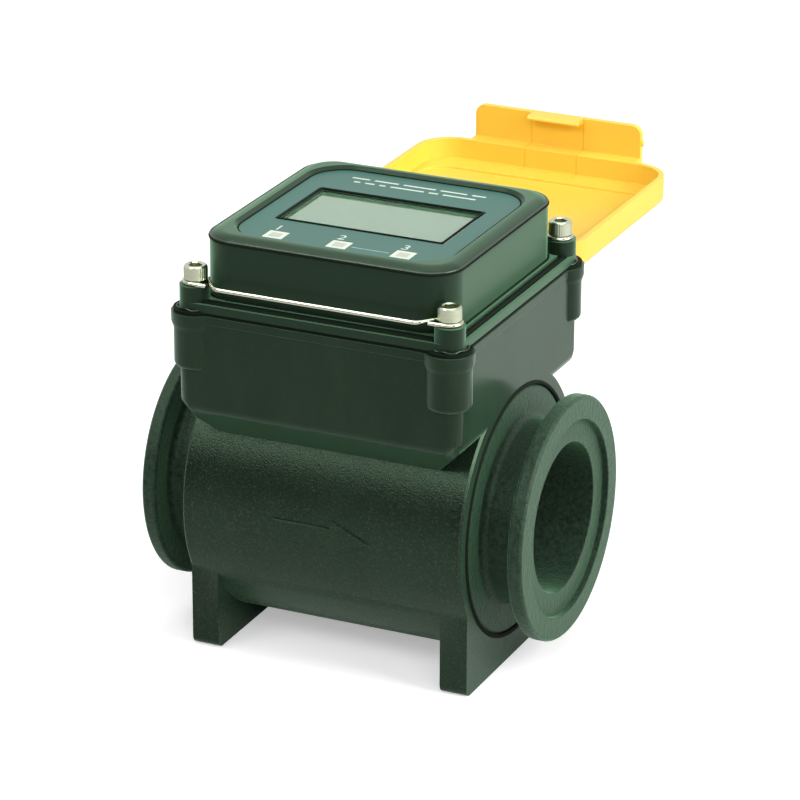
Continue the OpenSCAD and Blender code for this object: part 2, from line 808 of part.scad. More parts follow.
// Housing screws with a hex socket
module housing_screws() color(steel) placed() at_screws() {
    translate([0, 0, head_base_z - screw_l]) cylinder(d = screw_d, h = screw_l);
    difference() {
        translate([0, 0, head_base_z]) rotate_extrude() polygon([[0, 0], [head_d / 2 - head_edge / 2, 0],
            [head_d / 2, head_edge / 2], [head_d / 2, head_h - head_edge], [head_d / 2 - head_edge, head_h],
            [0, head_h]]);
        translate([0, 0, head_base_z + head_h - socket_depth])
            cylinder(d = socket_w / cos(30), h = socket_depth + over, $fn = 6);
    }
}

// Wires

// The direction of a path at one of its points
function heading(path, i) = let (v = path[min(i + 1, len(path) - 1)] - path[max(i - 1, 0)]) v / norm(v);

// A tube of flat sides along a path that is never upright
module tube(path, d, sides) {
    last = len(path) - 1;
    points = [for (i = [0 : last])
        let (u = heading(path, i), level = cross(u, [0, 0, 1]), s = level / norm(level), w = cross(s, u))
            for (k = [0 : sides - 1]) let (a = 360 * (k + 0.5) / sides)
                path[i] + d / 2 * (cos(a) * s + sin(a) * w)];
    walls = [for (i = [0 : last - 1], k = [0 : sides - 1]) let (m = (k + 1) % sides,
        at = [i * sides + k, i * sides + m, (i + 1) * sides + m, (i + 1) * sides + k])
            each [[at[0], at[1], at[2]], [at[0], at[2], at[3]]]];
    polyhedron(points = points, faces = concat([[for (k = [sides - 1 : -1 : 0]) k]], walls,
        [[for (k = [0 : sides - 1]) last * sides + k]]));
}

// From a straight run: a bend, a slant, an eye round the screw and a free end
function eye_path(run_y, rise) =
    let (corner = [wire_run, run_y - screw_at], to_eye = [screw_at, 0] - corner,
        lean = asin(eye_r / norm(to_eye)), way = atan2(to_eye[1], to_eye[0]) - lean,
        slant = [cos(way), sin(way)], touch_a = way - 90,
        touch = [screw_at, 0] + eye_r * [cos(touch_a), sin(touch_a)])
    concat(
        [[wire_run - wire_bend - over / 2, corner[1], rise]],
        [for (i = [0 : 4]) let (t = i / 4, p = (1 - t) * (1 - t) * (corner - [wire_bend, 0])
            + 2 * t * (1 - t) * corner + t * t * (corner + wire_bend * slant)) [p[0], p[1], rise]],
        [for (t = slant_shares) let (p = corner * (1 - t) + touch * t)
            [p[0], p[1], rise * (slant_shares[2] - t) / (slant_shares[2] - slant_shares[0])]],
        [for (i = [0 : eye_steps]) let (a = touch_a + (90 - touch_a) * i / eye_steps)
            [screw_at + eye_r * cos(a), eye_r * sin(a), 0]],
        [[screw_at - wire_end, eye_r, 0]]);

module bent_wire(run_y, rise) translate([0, screw_at, wire_z]) {
    run = wire_run - wire_bend;
    translate([-run, run_y - screw_at, rise]) rotate([0, 90, 0]) cylinder(d = wire_d, h = 2 * run);
    tube(eye_path(run_y, rise), wire_d - slip_gap, 10);
    mirror([1, 0, 0]) tube(eye_path(run_y, rise), wire_d - slip_gap, 10);
}

module latch_wire() color(steel) placed() mirror([0, 1, 0]) bent_wire(latch_y, 0);
module hinge_wire() color(steel) placed() bent_wire(hinge_y, hinge_rise);

// Flip cover, drawn closed and then turned back on its wire

module turned_back() {
    translate([0, hinge_y, hinge_z]) rotate([180, 0, 0]) translate([0, -hinge_y, -hinge_z]) children();
}

module cover_tray() {
    half_x = cover_w / 2;
    difference() {
        translate([0, cover_mid_y, 0]) moulded(half_x, cover_half_y, cover_r, concat([[0, cover_rim_z]],
            arc(-cover_edge_r, cover_top_z - cover_edge_r, cover_edge_r, 0, 90, 5)));
        translate([0, cover_mid_y, 0]) {
            block(half_x - cover_t, cover_half_y - cover_t, cover_r - cover_t,
                cover_rim_z - over, cover_rim_z + cover_step_depth);
            block(half_x - cover_t - cover_step_side, cover_half_y - cover_t - cover_step_w, cover_step_r,
                cover_rim_z, cover_rim_z + cover_step_depth + cover_panel_depth);
        }
    }
}

// The tab, drawn flat as seen from the front
module tab_shape(bottom) {
    top = cover_rim_z + tab_t;
    half = tab_w / 2;
    translate([-half, bottom + tab_r]) square([tab_w, top - bottom - tab_r]);
    translate([-half + tab_r, bottom]) square([tab_w - 2 * tab_r, tab_r * 2]);
    for (s = [-1, 1]) translate([s * (half - tab_r), bottom + tab_r]) circle(r = tab_r);
}

module latch_tab() {
    hook_top = wire_z - wire_d / 2 - hook_gap;
    bottom = hook_top - hook_h;
    translate([0, tab_front_y, 0]) rotate([90, 0, 0]) linear_extrude(height = tab_t) tab_shape(bottom);
    translate([-tab_w / 2, tab_front_y - tab_t / 2, cover_rim_z])
        cube([tab_w, cover_front_y + cover_t / 2 - tab_front_y + tab_t / 2, tab_t]);
    translate([-hook_w / 2, tab_front_y - tab_t / 2, 0]) rotate([90, 0, 90]) linear_extrude(height = hook_w)
        polygon([[0, bottom], [tab_t / 2 + hook_in - hook_lead, bottom],
            [tab_t / 2 + hook_in, bottom + hook_lead], [tab_t / 2 + hook_in, hook_top], [0, hook_top]]);
}

module hinge_clip() {
    arm_y = hinge_y - clip_r + slip_gap;
    difference() {
        union() {
            translate([-clip_w / 2, hinge_y, hinge_z]) rotate([0, 90, 0]) cylinder(r = clip_r, h = clip_w);
            translate([-clip_w / 2, cover_back_y - clip_arm_t - free_gap, hinge_z])
                cube([clip_w, clip_arm_t + free_gap, cover_rim_z + cover_t - hinge_z]);
        }
        translate([-clip_w, hinge_y, hinge_z]) rotate([0, 90, 0])
            cylinder(d = wire_d + 2 * slip_gap, h = 2 * clip_w, $fn = 48);
        translate([-clip_w, hinge_y, hinge_z - clip_slot / 2]) cube([2 * clip_w, clip_r + over, clip_slot]);
    }
}

module flip_cover() color(yellow) placed() turned_back() {
    cover_tray();
    latch_tab();
    for (s = [-1, 1]) translate([s * clip_at, 0, 0]) hinge_clip();
}

meter_body();
inlet_flange();
outlet_flange();
inlet_seal();
outlet_seal();
inlet_oring();
outlet_oring();
inlet_support();
outlet_support();
inlet_bearing();
outlet_bearing();
rotor();
rotor_shaft();
rotor_magnets();
thrust_washers();
coil_bobbin();
coil_winding();
battery_holder();
battery_cells();
battery_contacts();
housing_gasket();
threaded_inserts();
display_housing();
display_bezel();
label_panel();
display_window();
lcd_module();
touch_contacts();
circuit_board();
board_screws();
housing_screws();
latch_wire();
hinge_wire();
flip_cover();
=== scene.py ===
# %% [markdown]
# # A manifold flow meter, dressed for its portrait
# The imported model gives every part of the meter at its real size. This lesson keeps those sizes and adds what
# the eye looks for: rounded moulding edges, turned flanges, bent wires, knurled screws, and plastics, rubber,
# glass and steel that catch the light as the real ones do. Lengths are worked out in millimetres, because the
# drawings of such a meter are, and turned into Blender's metres when a piece is finished. Points within about a
# micrometre of each other count as the same spot.

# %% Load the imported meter
import math

import bmesh
import bpy
from mathutils import Matrix, Vector


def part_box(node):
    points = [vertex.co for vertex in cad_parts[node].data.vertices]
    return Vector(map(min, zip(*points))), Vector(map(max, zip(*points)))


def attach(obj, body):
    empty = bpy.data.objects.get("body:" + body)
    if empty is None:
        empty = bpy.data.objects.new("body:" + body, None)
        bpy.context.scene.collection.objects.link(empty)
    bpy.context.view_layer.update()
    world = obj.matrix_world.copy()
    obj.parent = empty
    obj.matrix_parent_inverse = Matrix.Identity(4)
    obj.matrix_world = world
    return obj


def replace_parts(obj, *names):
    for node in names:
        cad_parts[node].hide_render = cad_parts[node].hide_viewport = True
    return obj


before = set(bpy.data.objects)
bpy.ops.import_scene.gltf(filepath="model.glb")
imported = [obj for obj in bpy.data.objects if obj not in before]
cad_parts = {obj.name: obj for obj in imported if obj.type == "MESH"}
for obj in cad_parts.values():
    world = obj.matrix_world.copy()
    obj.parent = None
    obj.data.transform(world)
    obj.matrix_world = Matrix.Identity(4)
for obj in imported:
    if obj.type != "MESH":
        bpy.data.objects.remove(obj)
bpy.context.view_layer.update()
MM = 0.001
SAME_SPOT = 0.001 * MM

# %% [markdown]
# ## Sizes from the frame
# The frame knows the box of each part. The boxes that the pieces below are fitted to are read here, in
# millimetres, and so are the middle of the meter and the ground that it stands on. The pipe's axis is at zero.


# %% Sizes read from the frame
def box_mm(node):
    low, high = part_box(node)
    return low / MM, high / MM


x_mid = (box_mm("inlet_flange")[0].x + box_mm("outlet_flange")[1].x) / 2
ground = box_mm("meter_body")[0].z
gasket_foot, gasket_top = (corner.z for corner in box_mm("housing_gasket"))
cover_low, cover_high = box_mm("flip_cover")
window_low, window_high = box_mm("display_window")
label_low, label_high = box_mm("label_panel")
pads_low, pads_high = box_mm("touch_contacts")
head_top = box_mm("housing_screws")[1].z
bezel_top = box_mm("display_bezel")[1].z
print("middle of the meter at x =", round(x_mid, 2), "mm, ground at z =", round(ground, 2), "mm")

# %% [markdown]
# ## Camera
# The photograph was taken from the front right and a little above, from well over a metre away, with a long
# lens. The camera stands on a line through the meter at those two angles, and looks straight along it.

# %% Camera
VIEW_AZIMUTH = math.radians(24.73)
VIEW_ELEVATION = math.radians(21.75)
VIEW_ROLL = math.radians(0.14)
VIEW_DISTANCE = 1387.6
VIEW_TARGET_RIGHT = 6.45
VIEW_TARGET_ABOVE_PIPE = 30.41
SENSOR = 36.0
FRAME_PIXELS = 800.0
FOCAL_PIXELS = 4167.4
NEAREST_SEEN = 0.05

scene = bpy.context.scene
right = Vector((math.cos(VIEW_AZIMUTH), math.sin(VIEW_AZIMUTH), 0))
back = Vector((math.sin(VIEW_AZIMUTH) * math.cos(VIEW_ELEVATION),
               -math.cos(VIEW_AZIMUTH) * math.cos(VIEW_ELEVATION), math.sin(VIEW_ELEVATION)))
target = Vector((x_mid, 0, VIEW_TARGET_ABOVE_PIPE)) + right * VIEW_TARGET_RIGHT
camera_data = bpy.data.cameras.new("camera")
camera_data.sensor_width = SENSOR
camera_data.lens = FOCAL_PIXELS / FRAME_PIXELS * SENSOR
camera_data.clip_start = NEAREST_SEEN
camera = bpy.data.objects.new("camera", camera_data)
scene.collection.objects.link(camera)
camera.location = (target + back * VIEW_DISTANCE) * MM
facing = (-back).to_track_quat("-Z", "Y").to_matrix()
camera.rotation_euler = (facing @ Matrix.Rotation(VIEW_ROLL, 3, "Z")).to_euler()
scene.camera = camera
print("camera at", [round(v, 3) for v in camera.location], "lens", round(camera_data.lens, 1), "mm")

# %% [markdown]
# ## Soft boxes
# A large soft box on the right makes the faces that look to the right several times brighter than the front. A
# wide one overhead lights the tops, a small one high on the left leaves narrow glints on rounded edges, and two
# in front lift what would be black. Area lamps are used, because their size sets how soft a shadow is and how
# wide a glint is. Each row gives a lamp's place and size in metres and its power in watts.

# %% Soft boxes
scene.view_settings.view_transform = "Standard"
AIM = Vector((0.07, 0.0, 0.02))
LAMPS = (
    ("key_right", (1.35, 0.05, 0.6), (0.9, 0.9), 22.5),
    ("top", (0.1, 0.25, 1.5), (1.2, 1.0), 7),
    ("glint", (-0.55, -0.3, 1.45), (0.35, 0.3), 3.8),
    ("front_right", (0.65, -1.15, 1.1), (1.2, 0.8), 8.8),
    ("front_left", (-0.55, -1.1, 1.05), (0.9, 0.45), 6.8),
)


def soft_box(name, place, size, watts):
    data = bpy.data.lights.new(name, "AREA")
    data.shape = "RECTANGLE"
    data.size, data.size_y = size
    data.energy = watts
    lamp = bpy.data.objects.new(name, data)
    scene.collection.objects.link(lamp)
    lamp.location = place
    lamp.rotation_euler = (AIM - Vector(place)).to_track_quat("-Z", "Y").to_euler()


for lamp_row in LAMPS:
    soft_box(*lamp_row)
print(len(LAMPS), "soft boxes,", round(sum(lamp_row[-1] for lamp_row in LAMPS), 1), "W together")

# %% [markdown]
# ## Helpers for shader nodes
# The world, the floor and every finish are trees of nodes. Clicking them together by hand would work for one
# finish, but there are some twenty here, so short helpers add one node each and hand back its output. A tree
# then reads like a formula. Where a helper takes a value, that is a number, a colour or another node's output.


# %% Helpers that fill sockets
def put(tree, value, socket):
    """Links a node's output to the socket, or sets the socket to a plain value."""
    if isinstance(value, bpy.types.NodeSocket):
        tree.links.new(value, socket)
    else:
        socket.default_value = value


def set_inputs(node, values):
    for label, value in values.items():
        node.inputs[label].default_value = value


def grey(level):
    return (level, level, level)


def new_material(name):
    material = bpy.data.materials.new(name)
    material.use_nodes = True
    return material, material.node_tree, material.node_tree.nodes["Principled BSDF"]


# %% Helpers that add one node
def object_place(tree):
    return tree.nodes.new("ShaderNodeTexCoord").outputs["Object"]


def split_axes(tree, vector):
    node = tree.nodes.new("ShaderNodeSeparateXYZ")
    tree.links.new(vector, node.inputs[0])
    return node.outputs


def noise(tree, scale, detail, source, rough=0.5):
    node = tree.nodes.new("ShaderNodeTexNoise")
    set_inputs(node, {"Detail": detail, "Roughness": rough})
    tree.links.new(source, node.inputs["Vector"])
    put(tree, scale, node.inputs["Scale"])
    return node.outputs["Fac"]


def band(tree, value, low, high, out_low=0.0, out_high=1.0):
    """Turns low to high into out_low to out_high, and stays flat outside them."""
    node = tree.nodes.new("ShaderNodeMapRange")
    set_inputs(node, {"From Min": low, "From Max": high, "To Min": out_low, "To Max": out_high})
    tree.links.new(value, node.inputs["Value"])
    return node.outputs["Result"]


def sums(tree, kind, first, second=0.0):
    node = tree.nodes.new("ShaderNodeMath")
    node.operation = kind
    put(tree, first, node.inputs[0])
    put(tree, second, node.inputs[1])
    return node.outputs[0]


def blended(tree, mask, low_colour, high_colour):
    node = tree.nodes.new("ShaderNodeMix")
    node.data_type = "RGBA"
    for label, colour in (("A", low_colour), ("B", high_colour)):
        put(tree, (*colour, 1) if isinstance(colour, tuple) else colour, node.inputs[label])
    tree.links.new(mask, node.inputs["Factor"])
    return node.outputs["Result"]


def pressed(tree, height, strength, distance, normal=None, inwards=False):
    """Gives the normal of a surface whose height goes up, or inwards, with a mask."""
    node = tree.nodes.new("ShaderNodeBump")
    node.invert = inwards
    node.inputs["Distance"].default_value = distance
    put(tree, strength, node.inputs["Strength"])
    tree.links.new(height, node.inputs["Height"])
    if normal is not None:
        tree.links.new(normal, node.inputs["Normal"])
    return node.outputs["Normal"]


# %% [markdown]
# ## White room
# A product shot like this one stands on a white sweep, and dark glossy plastic shows mostly what it mirrors: the
# white floor and the white wall behind. The photographer's own side of the room is darker, which puts the dark
# band on the barrel. A picture of a room could be mirrored too, but three tones are enough. So the world is
# white for rays from the camera, through glass and from mirrors, apart from a low band in front, and lights matt
# surfaces only a little. The Light Path node tells these rays apart.

# %% World
WORLD_MATT, WORLD_DARK = 0.22, 0.01
DARK_BELOW, WHITE_ABOVE = 0.42, 0.56
DARK_BEFORE, WHITE_BEHIND = -0.45, 0.0


def world_light():
    world = bpy.data.worlds.new("studio")
    scene.world = world
    world.use_nodes = True
    tree = world.node_tree
    tree.nodes.clear()
    out = tree.nodes.new("ShaderNodeOutputWorld")
    shade = tree.nodes.new("ShaderNodeBackground")
    ray = tree.nodes.new("ShaderNodeLightPath").outputs
    way = split_axes(tree, tree.nodes.new("ShaderNodeTexCoord").outputs["Generated"])
    above = band(tree, way["Z"], DARK_BELOW, WHITE_ABOVE, WORLD_DARK, 1)
    behind = band(tree, way["Y"], DARK_BEFORE, WHITE_BEHIND, WORLD_DARK, 1)
    mirrored = sums(tree, "MULTIPLY", ray["Is Glossy Ray"], sums(tree, "MAXIMUM", above, behind))
    direct = sums(tree, "MAXIMUM", ray["Is Camera Ray"], ray["Is Transmission Ray"])
    white = sums(tree, "MAXIMUM", direct, mirrored)
    tree.links.new(blended(tree, white, grey(WORLD_MATT), grey(1)), shade.inputs["Color"])
    tree.links.new(shade.outputs[0], out.inputs["Surface"])
    print("world: white, matt surfaces get", WORLD_MATT, "of it")


world_light()

# %% [markdown]
# ## Pale floor
# The floor is one large grid at the level of the feet. To the camera it is nearly white and glows a little, so
# that it runs into the white world without an edge and the soft shadow still shows on it. Matt surfaces get less
# from it, which keeps the undersides dark. In a mirror it is darker on the near side than behind the meter, as
# the real room was.

# %% Floor
FLOOR_REACH = 6
FLOOR_SEEN, FLOOR_GLOW, FLOOR_MATT = 0.85, 0.4, 0.5
MIRRORED_NEAR, MIRRORED_FAR = 0.6, 0.74
NEAR_Y, FAR_Y = -0.34, 0.15


def pale_floor():
    mesh = bpy.data.meshes.new("floor")
    bm = bmesh.new()
    bmesh.ops.create_grid(bm, x_segments=1, y_segments=1, size=FLOOR_REACH)
    bmesh.ops.translate(bm, verts=bm.verts, vec=(0, 0, ground * MM))
    bm.to_mesh(mesh)
    bm.free()
    floor = bpy.data.objects.new("floor", mesh)
    scene.collection.objects.link(floor)
    paint, tree, shade = new_material("floor")
    set_inputs(shade, {"Roughness": 0.8, "Specular IOR Level": 0.1, "Emission Strength": 1.0})
    ray = tree.nodes.new("ShaderNodeLightPath").outputs
    depth = band(tree, split_axes(tree, object_place(tree))["Y"], NEAR_Y, FAR_Y)
    mirrored = blended(tree, depth, grey(MIRRORED_NEAR), grey(MIRRORED_FAR))
    unseen = blended(tree, ray["Is Glossy Ray"], grey(FLOOR_MATT), mirrored)
    tone = blended(tree, ray["Is Camera Ray"], unseen, grey(FLOOR_SEEN))
    glow = blended(tree, ray["Is Camera Ray"], grey(0), grey(FLOOR_GLOW))
    tree.links.new(tone, shade.inputs["Base Color"])
    tree.links.new(glow, shade.inputs["Emission Color"])
    mesh.materials.append(paint)
    print("floor:", 2 * FLOOR_REACH, "m wide at z =", round(ground, 2), "mm")


pale_floor()

# %% [markdown]
# ## Grain, streaks and specks
# Injection-moulded plastic is never one flat colour. The tool was eroded with sparks where a dull grain was
# wanted and polished where a shine was, the plastic filled it in slow streaks, and glass fibre shows as pale
# specks. One node group gives all of that as masks and a normal from the piece's own Object coordinates, so that
# every material can use it with its own numbers. It thins the grain above a given level, because the barrel is
# grained and the square housing on top of it is nearly smooth.


# %% A new node group
def new_group(name, inputs, outputs):
    """Starts a group with number inputs, as name and value, and outputs, as name and kind of socket."""
    group = bpy.data.node_groups.new(name, "ShaderNodeTree")
    for label, value in inputs.items():
        socket = group.interface.new_socket(name=label, in_out="INPUT", socket_type="NodeSocketFloat")
        socket.default_value = value
    for label, kind in outputs.items():
        group.interface.new_socket(name=label, in_out="OUTPUT", socket_type=kind)
    return group, group.nodes.new("NodeGroupInput").outputs, group.nodes.new("NodeGroupOutput").inputs


# %% Node group of a moulded surface
GRAIN_DEPTH = 0.0003
GRAIN_FADE, SMOOTH_GRAIN = 0.003, 0.12
SPARK_SCALE = 0.7
SPECK_BAND, MOTTLE_BAND = (0.52, 0.72), (0.25, 0.75)


def mould_surface():
    group, given, result = new_group(
        "mould_surface",
        {"Grain Scale": 1500.0, "Grain Height": 0.2, "Flow Scale": 30.0, "Flow Stretch": 1.0, "Wave": 0.0,
         "Smooth Above": 9.0},
        {"Mottle": "NodeSocketFloat", "Speck": "NodeSocketFloat", "Normal": "NodeSocketVector"})
    place = object_place(group)
    axes = split_axes(group, place)
    depth = sums(group, "SUBTRACT", given["Smooth Above"], axes["Z"])
    grained = band(group, depth, -GRAIN_FADE, GRAIN_FADE, SMOOTH_GRAIN, 1.0)
    stretched = group.nodes.new("ShaderNodeCombineXYZ")
    group.links.new(axes["X"], stretched.inputs["X"])
    group.links.new(axes["Y"], stretched.inputs["Y"])
    group.links.new(sums(group, "MULTIPLY", axes["Z"], given["Flow Stretch"]), stretched.inputs["Z"])
    slow = noise(group, given["Flow Scale"], 5, stretched.outputs[0], 0.6)
    fine = noise(group, given["Grain Scale"], 2, place, 0.6)
    sparks = noise(group, sums(group, "MULTIPLY", given["Grain Scale"], SPARK_SCALE), 1, place)
    uneven = sums(group, "ADD", fine, sums(group, "MULTIPLY", slow, given["Wave"]))
    strength = sums(group, "MULTIPLY", given["Grain Height"], grained)
    group.links.new(band(group, slow, *MOTTLE_BAND), result["Mottle"])
    group.links.new(sums(group, "MULTIPLY", band(group, sparks, *SPECK_BAND), grained), result["Speck"])
    group.links.new(pressed(group, uneven, strength, GRAIN_DEPTH), result["Normal"])
    print("moulded surface: a group of", len(group.nodes), "nodes")
    return group


SURFACE = mould_surface()

# %% [markdown]
# ## Plastics and rubber
# The body is a nearly black, glass-filled plastic with a spark-eroded grain. The end fittings are a rougher one,
# turned after moulding. The display housing is polished, and its bezel is satin with a polished lip. The seals
# are dull rubber. A dark plastic has almost no colour of its own, and the green that the eye sees in it comes
# with the light that it mirrors, so the tint is on the gloss and on a sheen, and only a trace is in the colour.
# Each finish is the moulded surface with its own dark and light tone, roughness, grain and streaks.

# %% One plastic
LEAF, MOSS = (0.62, 1.0, 0.64), (0.46, 1.0, 0.56)
SHEEN_ROUGH = 0.4
SOAK_DEPTH = 0.002


def plastic(name, dark, light, rough, grain=(1500, 0.2), flow=30, stretch=1.0, wave=0.0, specular=0.5,
            tint=(1, 1, 1), speck=None, sheen=0.0, subsurface=0.0, smooth_above=9.0):
    material, tree, shade = new_material(name)
    surface = tree.nodes.new("ShaderNodeGroup")
    surface.node_tree = SURFACE
    set_inputs(surface, {"Grain Scale": grain[0], "Grain Height": grain[1], "Flow Scale": flow,
                         "Flow Stretch": stretch, "Wave": wave, "Smooth Above": smooth_above})
    colour = blended(tree, surface.outputs["Mottle"], dark, light)
    if speck:
        colour = blended(tree, surface.outputs["Speck"], colour, speck)
    tree.links.new(colour, shade.inputs["Base Color"])
    tree.links.new(band(tree, surface.outputs["Mottle"], 0, 1, *rough), shade.inputs["Roughness"])
    tree.links.new(surface.outputs["Normal"], shade.inputs["Normal"])
    set_inputs(shade, {"Specular IOR Level": specular, "Specular Tint": (*tint, 1)})
    if sheen:
        set_inputs(shade, {"Sheen Weight": sheen, "Sheen Roughness": SHEEN_ROUGH, "Sheen Tint": (*MOSS, 1)})
    if subsurface:
        set_inputs(shade, {"Subsurface Weight": subsurface, "Subsurface Scale": SOAK_DEPTH})
    return material


# %% Plastics and rubbers of the meter
BODY = plastic("body_plastic", (0.002, 0.004, 0.002), (0.011, 0.020, 0.013), (0.14, 0.21), grain=(2000, 0.45),
               flow=38, stretch=0.3, wave=0.8, specular=0.33, tint=LEAF, speck=(0.024, 0.033, 0.020),
               sheen=0.35, smooth_above=0.030)
FITTING = plastic("fitting_plastic", (0.001, 0.003, 0.002), (0.026, 0.048, 0.032), (0.3, 0.5),
                  grain=(1800, 0.6), flow=600, wave=1.5, specular=0.31, tint=LEAF,
                  speck=(0.028, 0.042, 0.028), sheen=0.44)
GLOSS = plastic("glossy_black", (0.005, 0.010, 0.0065), (0.006, 0.011, 0.0075), (0.30, 0.34),
                grain=(900, 0.01), flow=22, specular=0.30, tint=LEAF, sheen=1.0)
BEZEL = plastic("satin_bezel", (0.004, 0.008, 0.005), (0.007, 0.013, 0.009), (0.36, 0.44), grain=(1800, 0.06),
                specular=0.36, tint=LEAF, sheen=0.55)
POLISHED = plastic("polished_lip", (0.006, 0.011, 0.008), (0.008, 0.014, 0.010), (0.26, 0.30),
                   grain=(900, 0.01), specular=0.9, tint=(0.78, 1.0, 0.7))
LABEL = plastic("label_film", (0.015, 0.102, 0.076), (0.021, 0.116, 0.087), (0.34, 0.42), grain=(2600, 0.05),
                flow=25)
# Dull seal rubber. It is also laid as black strings of painted shade round the display and in its moat.
RUBBER_AND_PAINTED_SHADE = plastic("seal_rubber", (0.003, 0.004, 0.003), (0.007, 0.009, 0.007), (0.6, 0.75), grain=(2200, 0.2),
                 flow=90, specular=0.12, tint=LEAF)
WET_RUBBER = plastic("wet_rubber", (0.003, 0.004, 0.003), (0.006, 0.008, 0.006), (0.2, 0.3),
                     grain=(1200, 0.1), flow=150, tint=LEAF)
WHITE = plastic("white_plastic", (0.7, 0.7, 0.66), (0.76, 0.76, 0.72), (0.35, 0.45))
JACKET = plastic("cell_jacket", (0.03, 0.09, 0.2), (0.04, 0.11, 0.24), (0.25, 0.35), grain=(2000, 0.05))
BOARD = plastic("board_green", (0.01, 0.1, 0.035), (0.014, 0.13, 0.045), (0.2, 0.3), grain=(2500, 0.08),
                flow=60)
print("plastics and rubbers:", SURFACE.users)

# %% [markdown]
# ## The cover's yellow
# The flip cover is a soft, slightly see-through yellow. The insert in its tool that makes the hook leaves a fine
# line on each side, down the tab and the wall behind it. Lines cut into the mesh would break up its long faces,
# so a small group turns the distance from the two lines into a mask, which darkens the colour a little and
# presses a thin groove. The insert ends before the tray's middle and under its closed top, and so do the lines.

# %% Insert lines
LINE_BESIDE, LINE_WIDTH, LINE_FROM_BACK, LINE_ABOVE_FOOT = 10.0, 0.25, 13.0, 0.8
LINE_COLOUR = (0.80, 0.44, 0.03)
FADE_BEYOND, FADE_ABOVE = 0.0005, 0.0002
GROOVE_STRENGTH, GROOVE_DEPTH = 0.5, 0.0002


def insert_lines():
    group, given, result = new_group(
        "insert_lines", {"Middle": 0.0, "Beside": 0.01, "Width": 0.0002, "Beyond": 0.0, "Above": 0.0},
        {"Line": "NodeSocketFloat"})
    axes = split_axes(group, object_place(group))
    off_middle = sums(group, "ABSOLUTE", sums(group, "SUBTRACT", axes["X"], given["Middle"]))
    off_line = sums(group, "ABSOLUTE", sums(group, "SUBTRACT", off_middle, given["Beside"]))
    share = sums(group, "DIVIDE", off_line, given["Width"])
    past = band(group, sums(group, "SUBTRACT", axes["Y"], given["Beyond"]), 0.0, FADE_BEYOND)
    over = band(group, sums(group, "SUBTRACT", axes["Z"], given["Above"]), 0.0, FADE_ABOVE)
    line = sums(group, "MULTIPLY", band(group, share, 0.5, 1.0, 1.0, 0.0), sums(group, "MULTIPLY", past, over))
    group.links.new(line, result["Line"])
    return group


def add_insert_lines(material):
    tree = material.node_tree
    shade = tree.nodes["Principled BSDF"]
    lines = tree.nodes.new("ShaderNodeGroup")
    lines.node_tree = insert_lines()
    set_inputs(lines, {"Middle": x_mid * MM, "Beside": LINE_BESIDE * MM, "Width": LINE_WIDTH * MM,
                       "Beyond": (cover_high.y - LINE_FROM_BACK) * MM,
                       "Above": (cover_low.z + LINE_ABOVE_FOOT) * MM})
    line = lines.outputs["Line"]
    colour = shade.inputs["Base Color"].links[0].from_socket
    normal = shade.inputs["Normal"].links[0].from_socket
    tree.links.new(blended(tree, line, colour, LINE_COLOUR), shade.inputs["Base Color"])
    tree.links.new(pressed(tree, line, GROOVE_STRENGTH, GROOVE_DEPTH, normal, True), shade.inputs["Normal"])
    print("insert lines", 2 * LINE_BESIDE, "mm apart,", LINE_WIDTH, "mm wide")


# %% Yellow of the cover
YELLOW = plastic("cover_yellow", (0.86, 0.565, 0.056), (0.89, 0.595, 0.072), (0.34, 0.44), grain=(2400, 0.06),
                 flow=20, subsurface=0.12)
add_insert_lines(YELLOW)

# %% [markdown]
# ## Metals
# Screws are stainless steel, cut on a lathe, and the wires were drawn through a die. Both leave fine marks that
# run one way. So one noise is stretched by a Mapping node, and that drives colour, roughness and a light bump
# together, as a scratch does. Brass and copper for the parts inside are made the same way.

# %% Metals
MARK_STRENGTH, MARK_DEPTH = 0.1, 0.0001


def metal(name, dark, light, rough, streak):
    material, tree, shade = new_material(name)
    shade.inputs["Metallic"].default_value = 1.0
    stretch = tree.nodes.new("ShaderNodeMapping")
    stretch.inputs["Scale"].default_value = streak
    tree.links.new(object_place(tree), stretch.inputs["Vector"])
    marks = noise(tree, 1.0, 3, stretch.outputs["Vector"])
    tree.links.new(blended(tree, marks, dark, light), shade.inputs["Base Color"])
    tree.links.new(band(tree, marks, 0.3, 0.7, *rough), shade.inputs["Roughness"])
    tree.links.new(pressed(tree, marks, MARK_STRENGTH, MARK_DEPTH), shade.inputs["Normal"])
    print("metal:", name)
    return material


STEEL = metal("stainless", (0.46, 0.49, 0.36), (0.63, 0.67, 0.50), (0.15, 0.24), (300, 300, 2600))
DRAWN = metal("stainless_wire", (0.55, 0.55, 0.44), (0.60, 0.60, 0.48), (0.16, 0.19), (60, 1500, 1500))
BRASS = metal("bearing_brass", (0.6, 0.42, 0.16), (0.74, 0.56, 0.26), (0.25, 0.4), (900, 900, 900))
COPPER = metal("copper_wire", (0.5, 0.2, 0.08), (0.62, 0.28, 0.12), (0.25, 0.35), (200, 200, 3500))

# %% [markdown]
# ## Glass, display and ink
# The window is clear acrylic with a faint haze of fingerprints. Clear plastic would cast a black shadow in a
# path tracer that follows few rays, so shadow rays pass through it almost freely. The film under it, the touch
# pads, their marks and the ink are matt plastics with little grain.

# %% Clear window
ACRYLIC_IOR = 1.49
SHADOW_ALPHA = 0.1


def clear_window():
    material, tree, shade = new_material("clear_window")
    set_inputs(shade, {"Base Color": (0.96, 0.98, 0.97, 1), "Transmission Weight": 1.0, "IOR": ACRYLIC_IOR})
    ray = tree.nodes.new("ShaderNodeLightPath").outputs
    tree.links.new(band(tree, ray["Is Shadow Ray"], 0, 1, 1.0, SHADOW_ALPHA), shade.inputs["Alpha"])
    haze = noise(tree, 60, 4, object_place(tree))
    tree.links.new(band(tree, haze, 0.3, 0.7, 0.02, 0.07), shade.inputs["Roughness"])
    return material


WINDOW = clear_window()

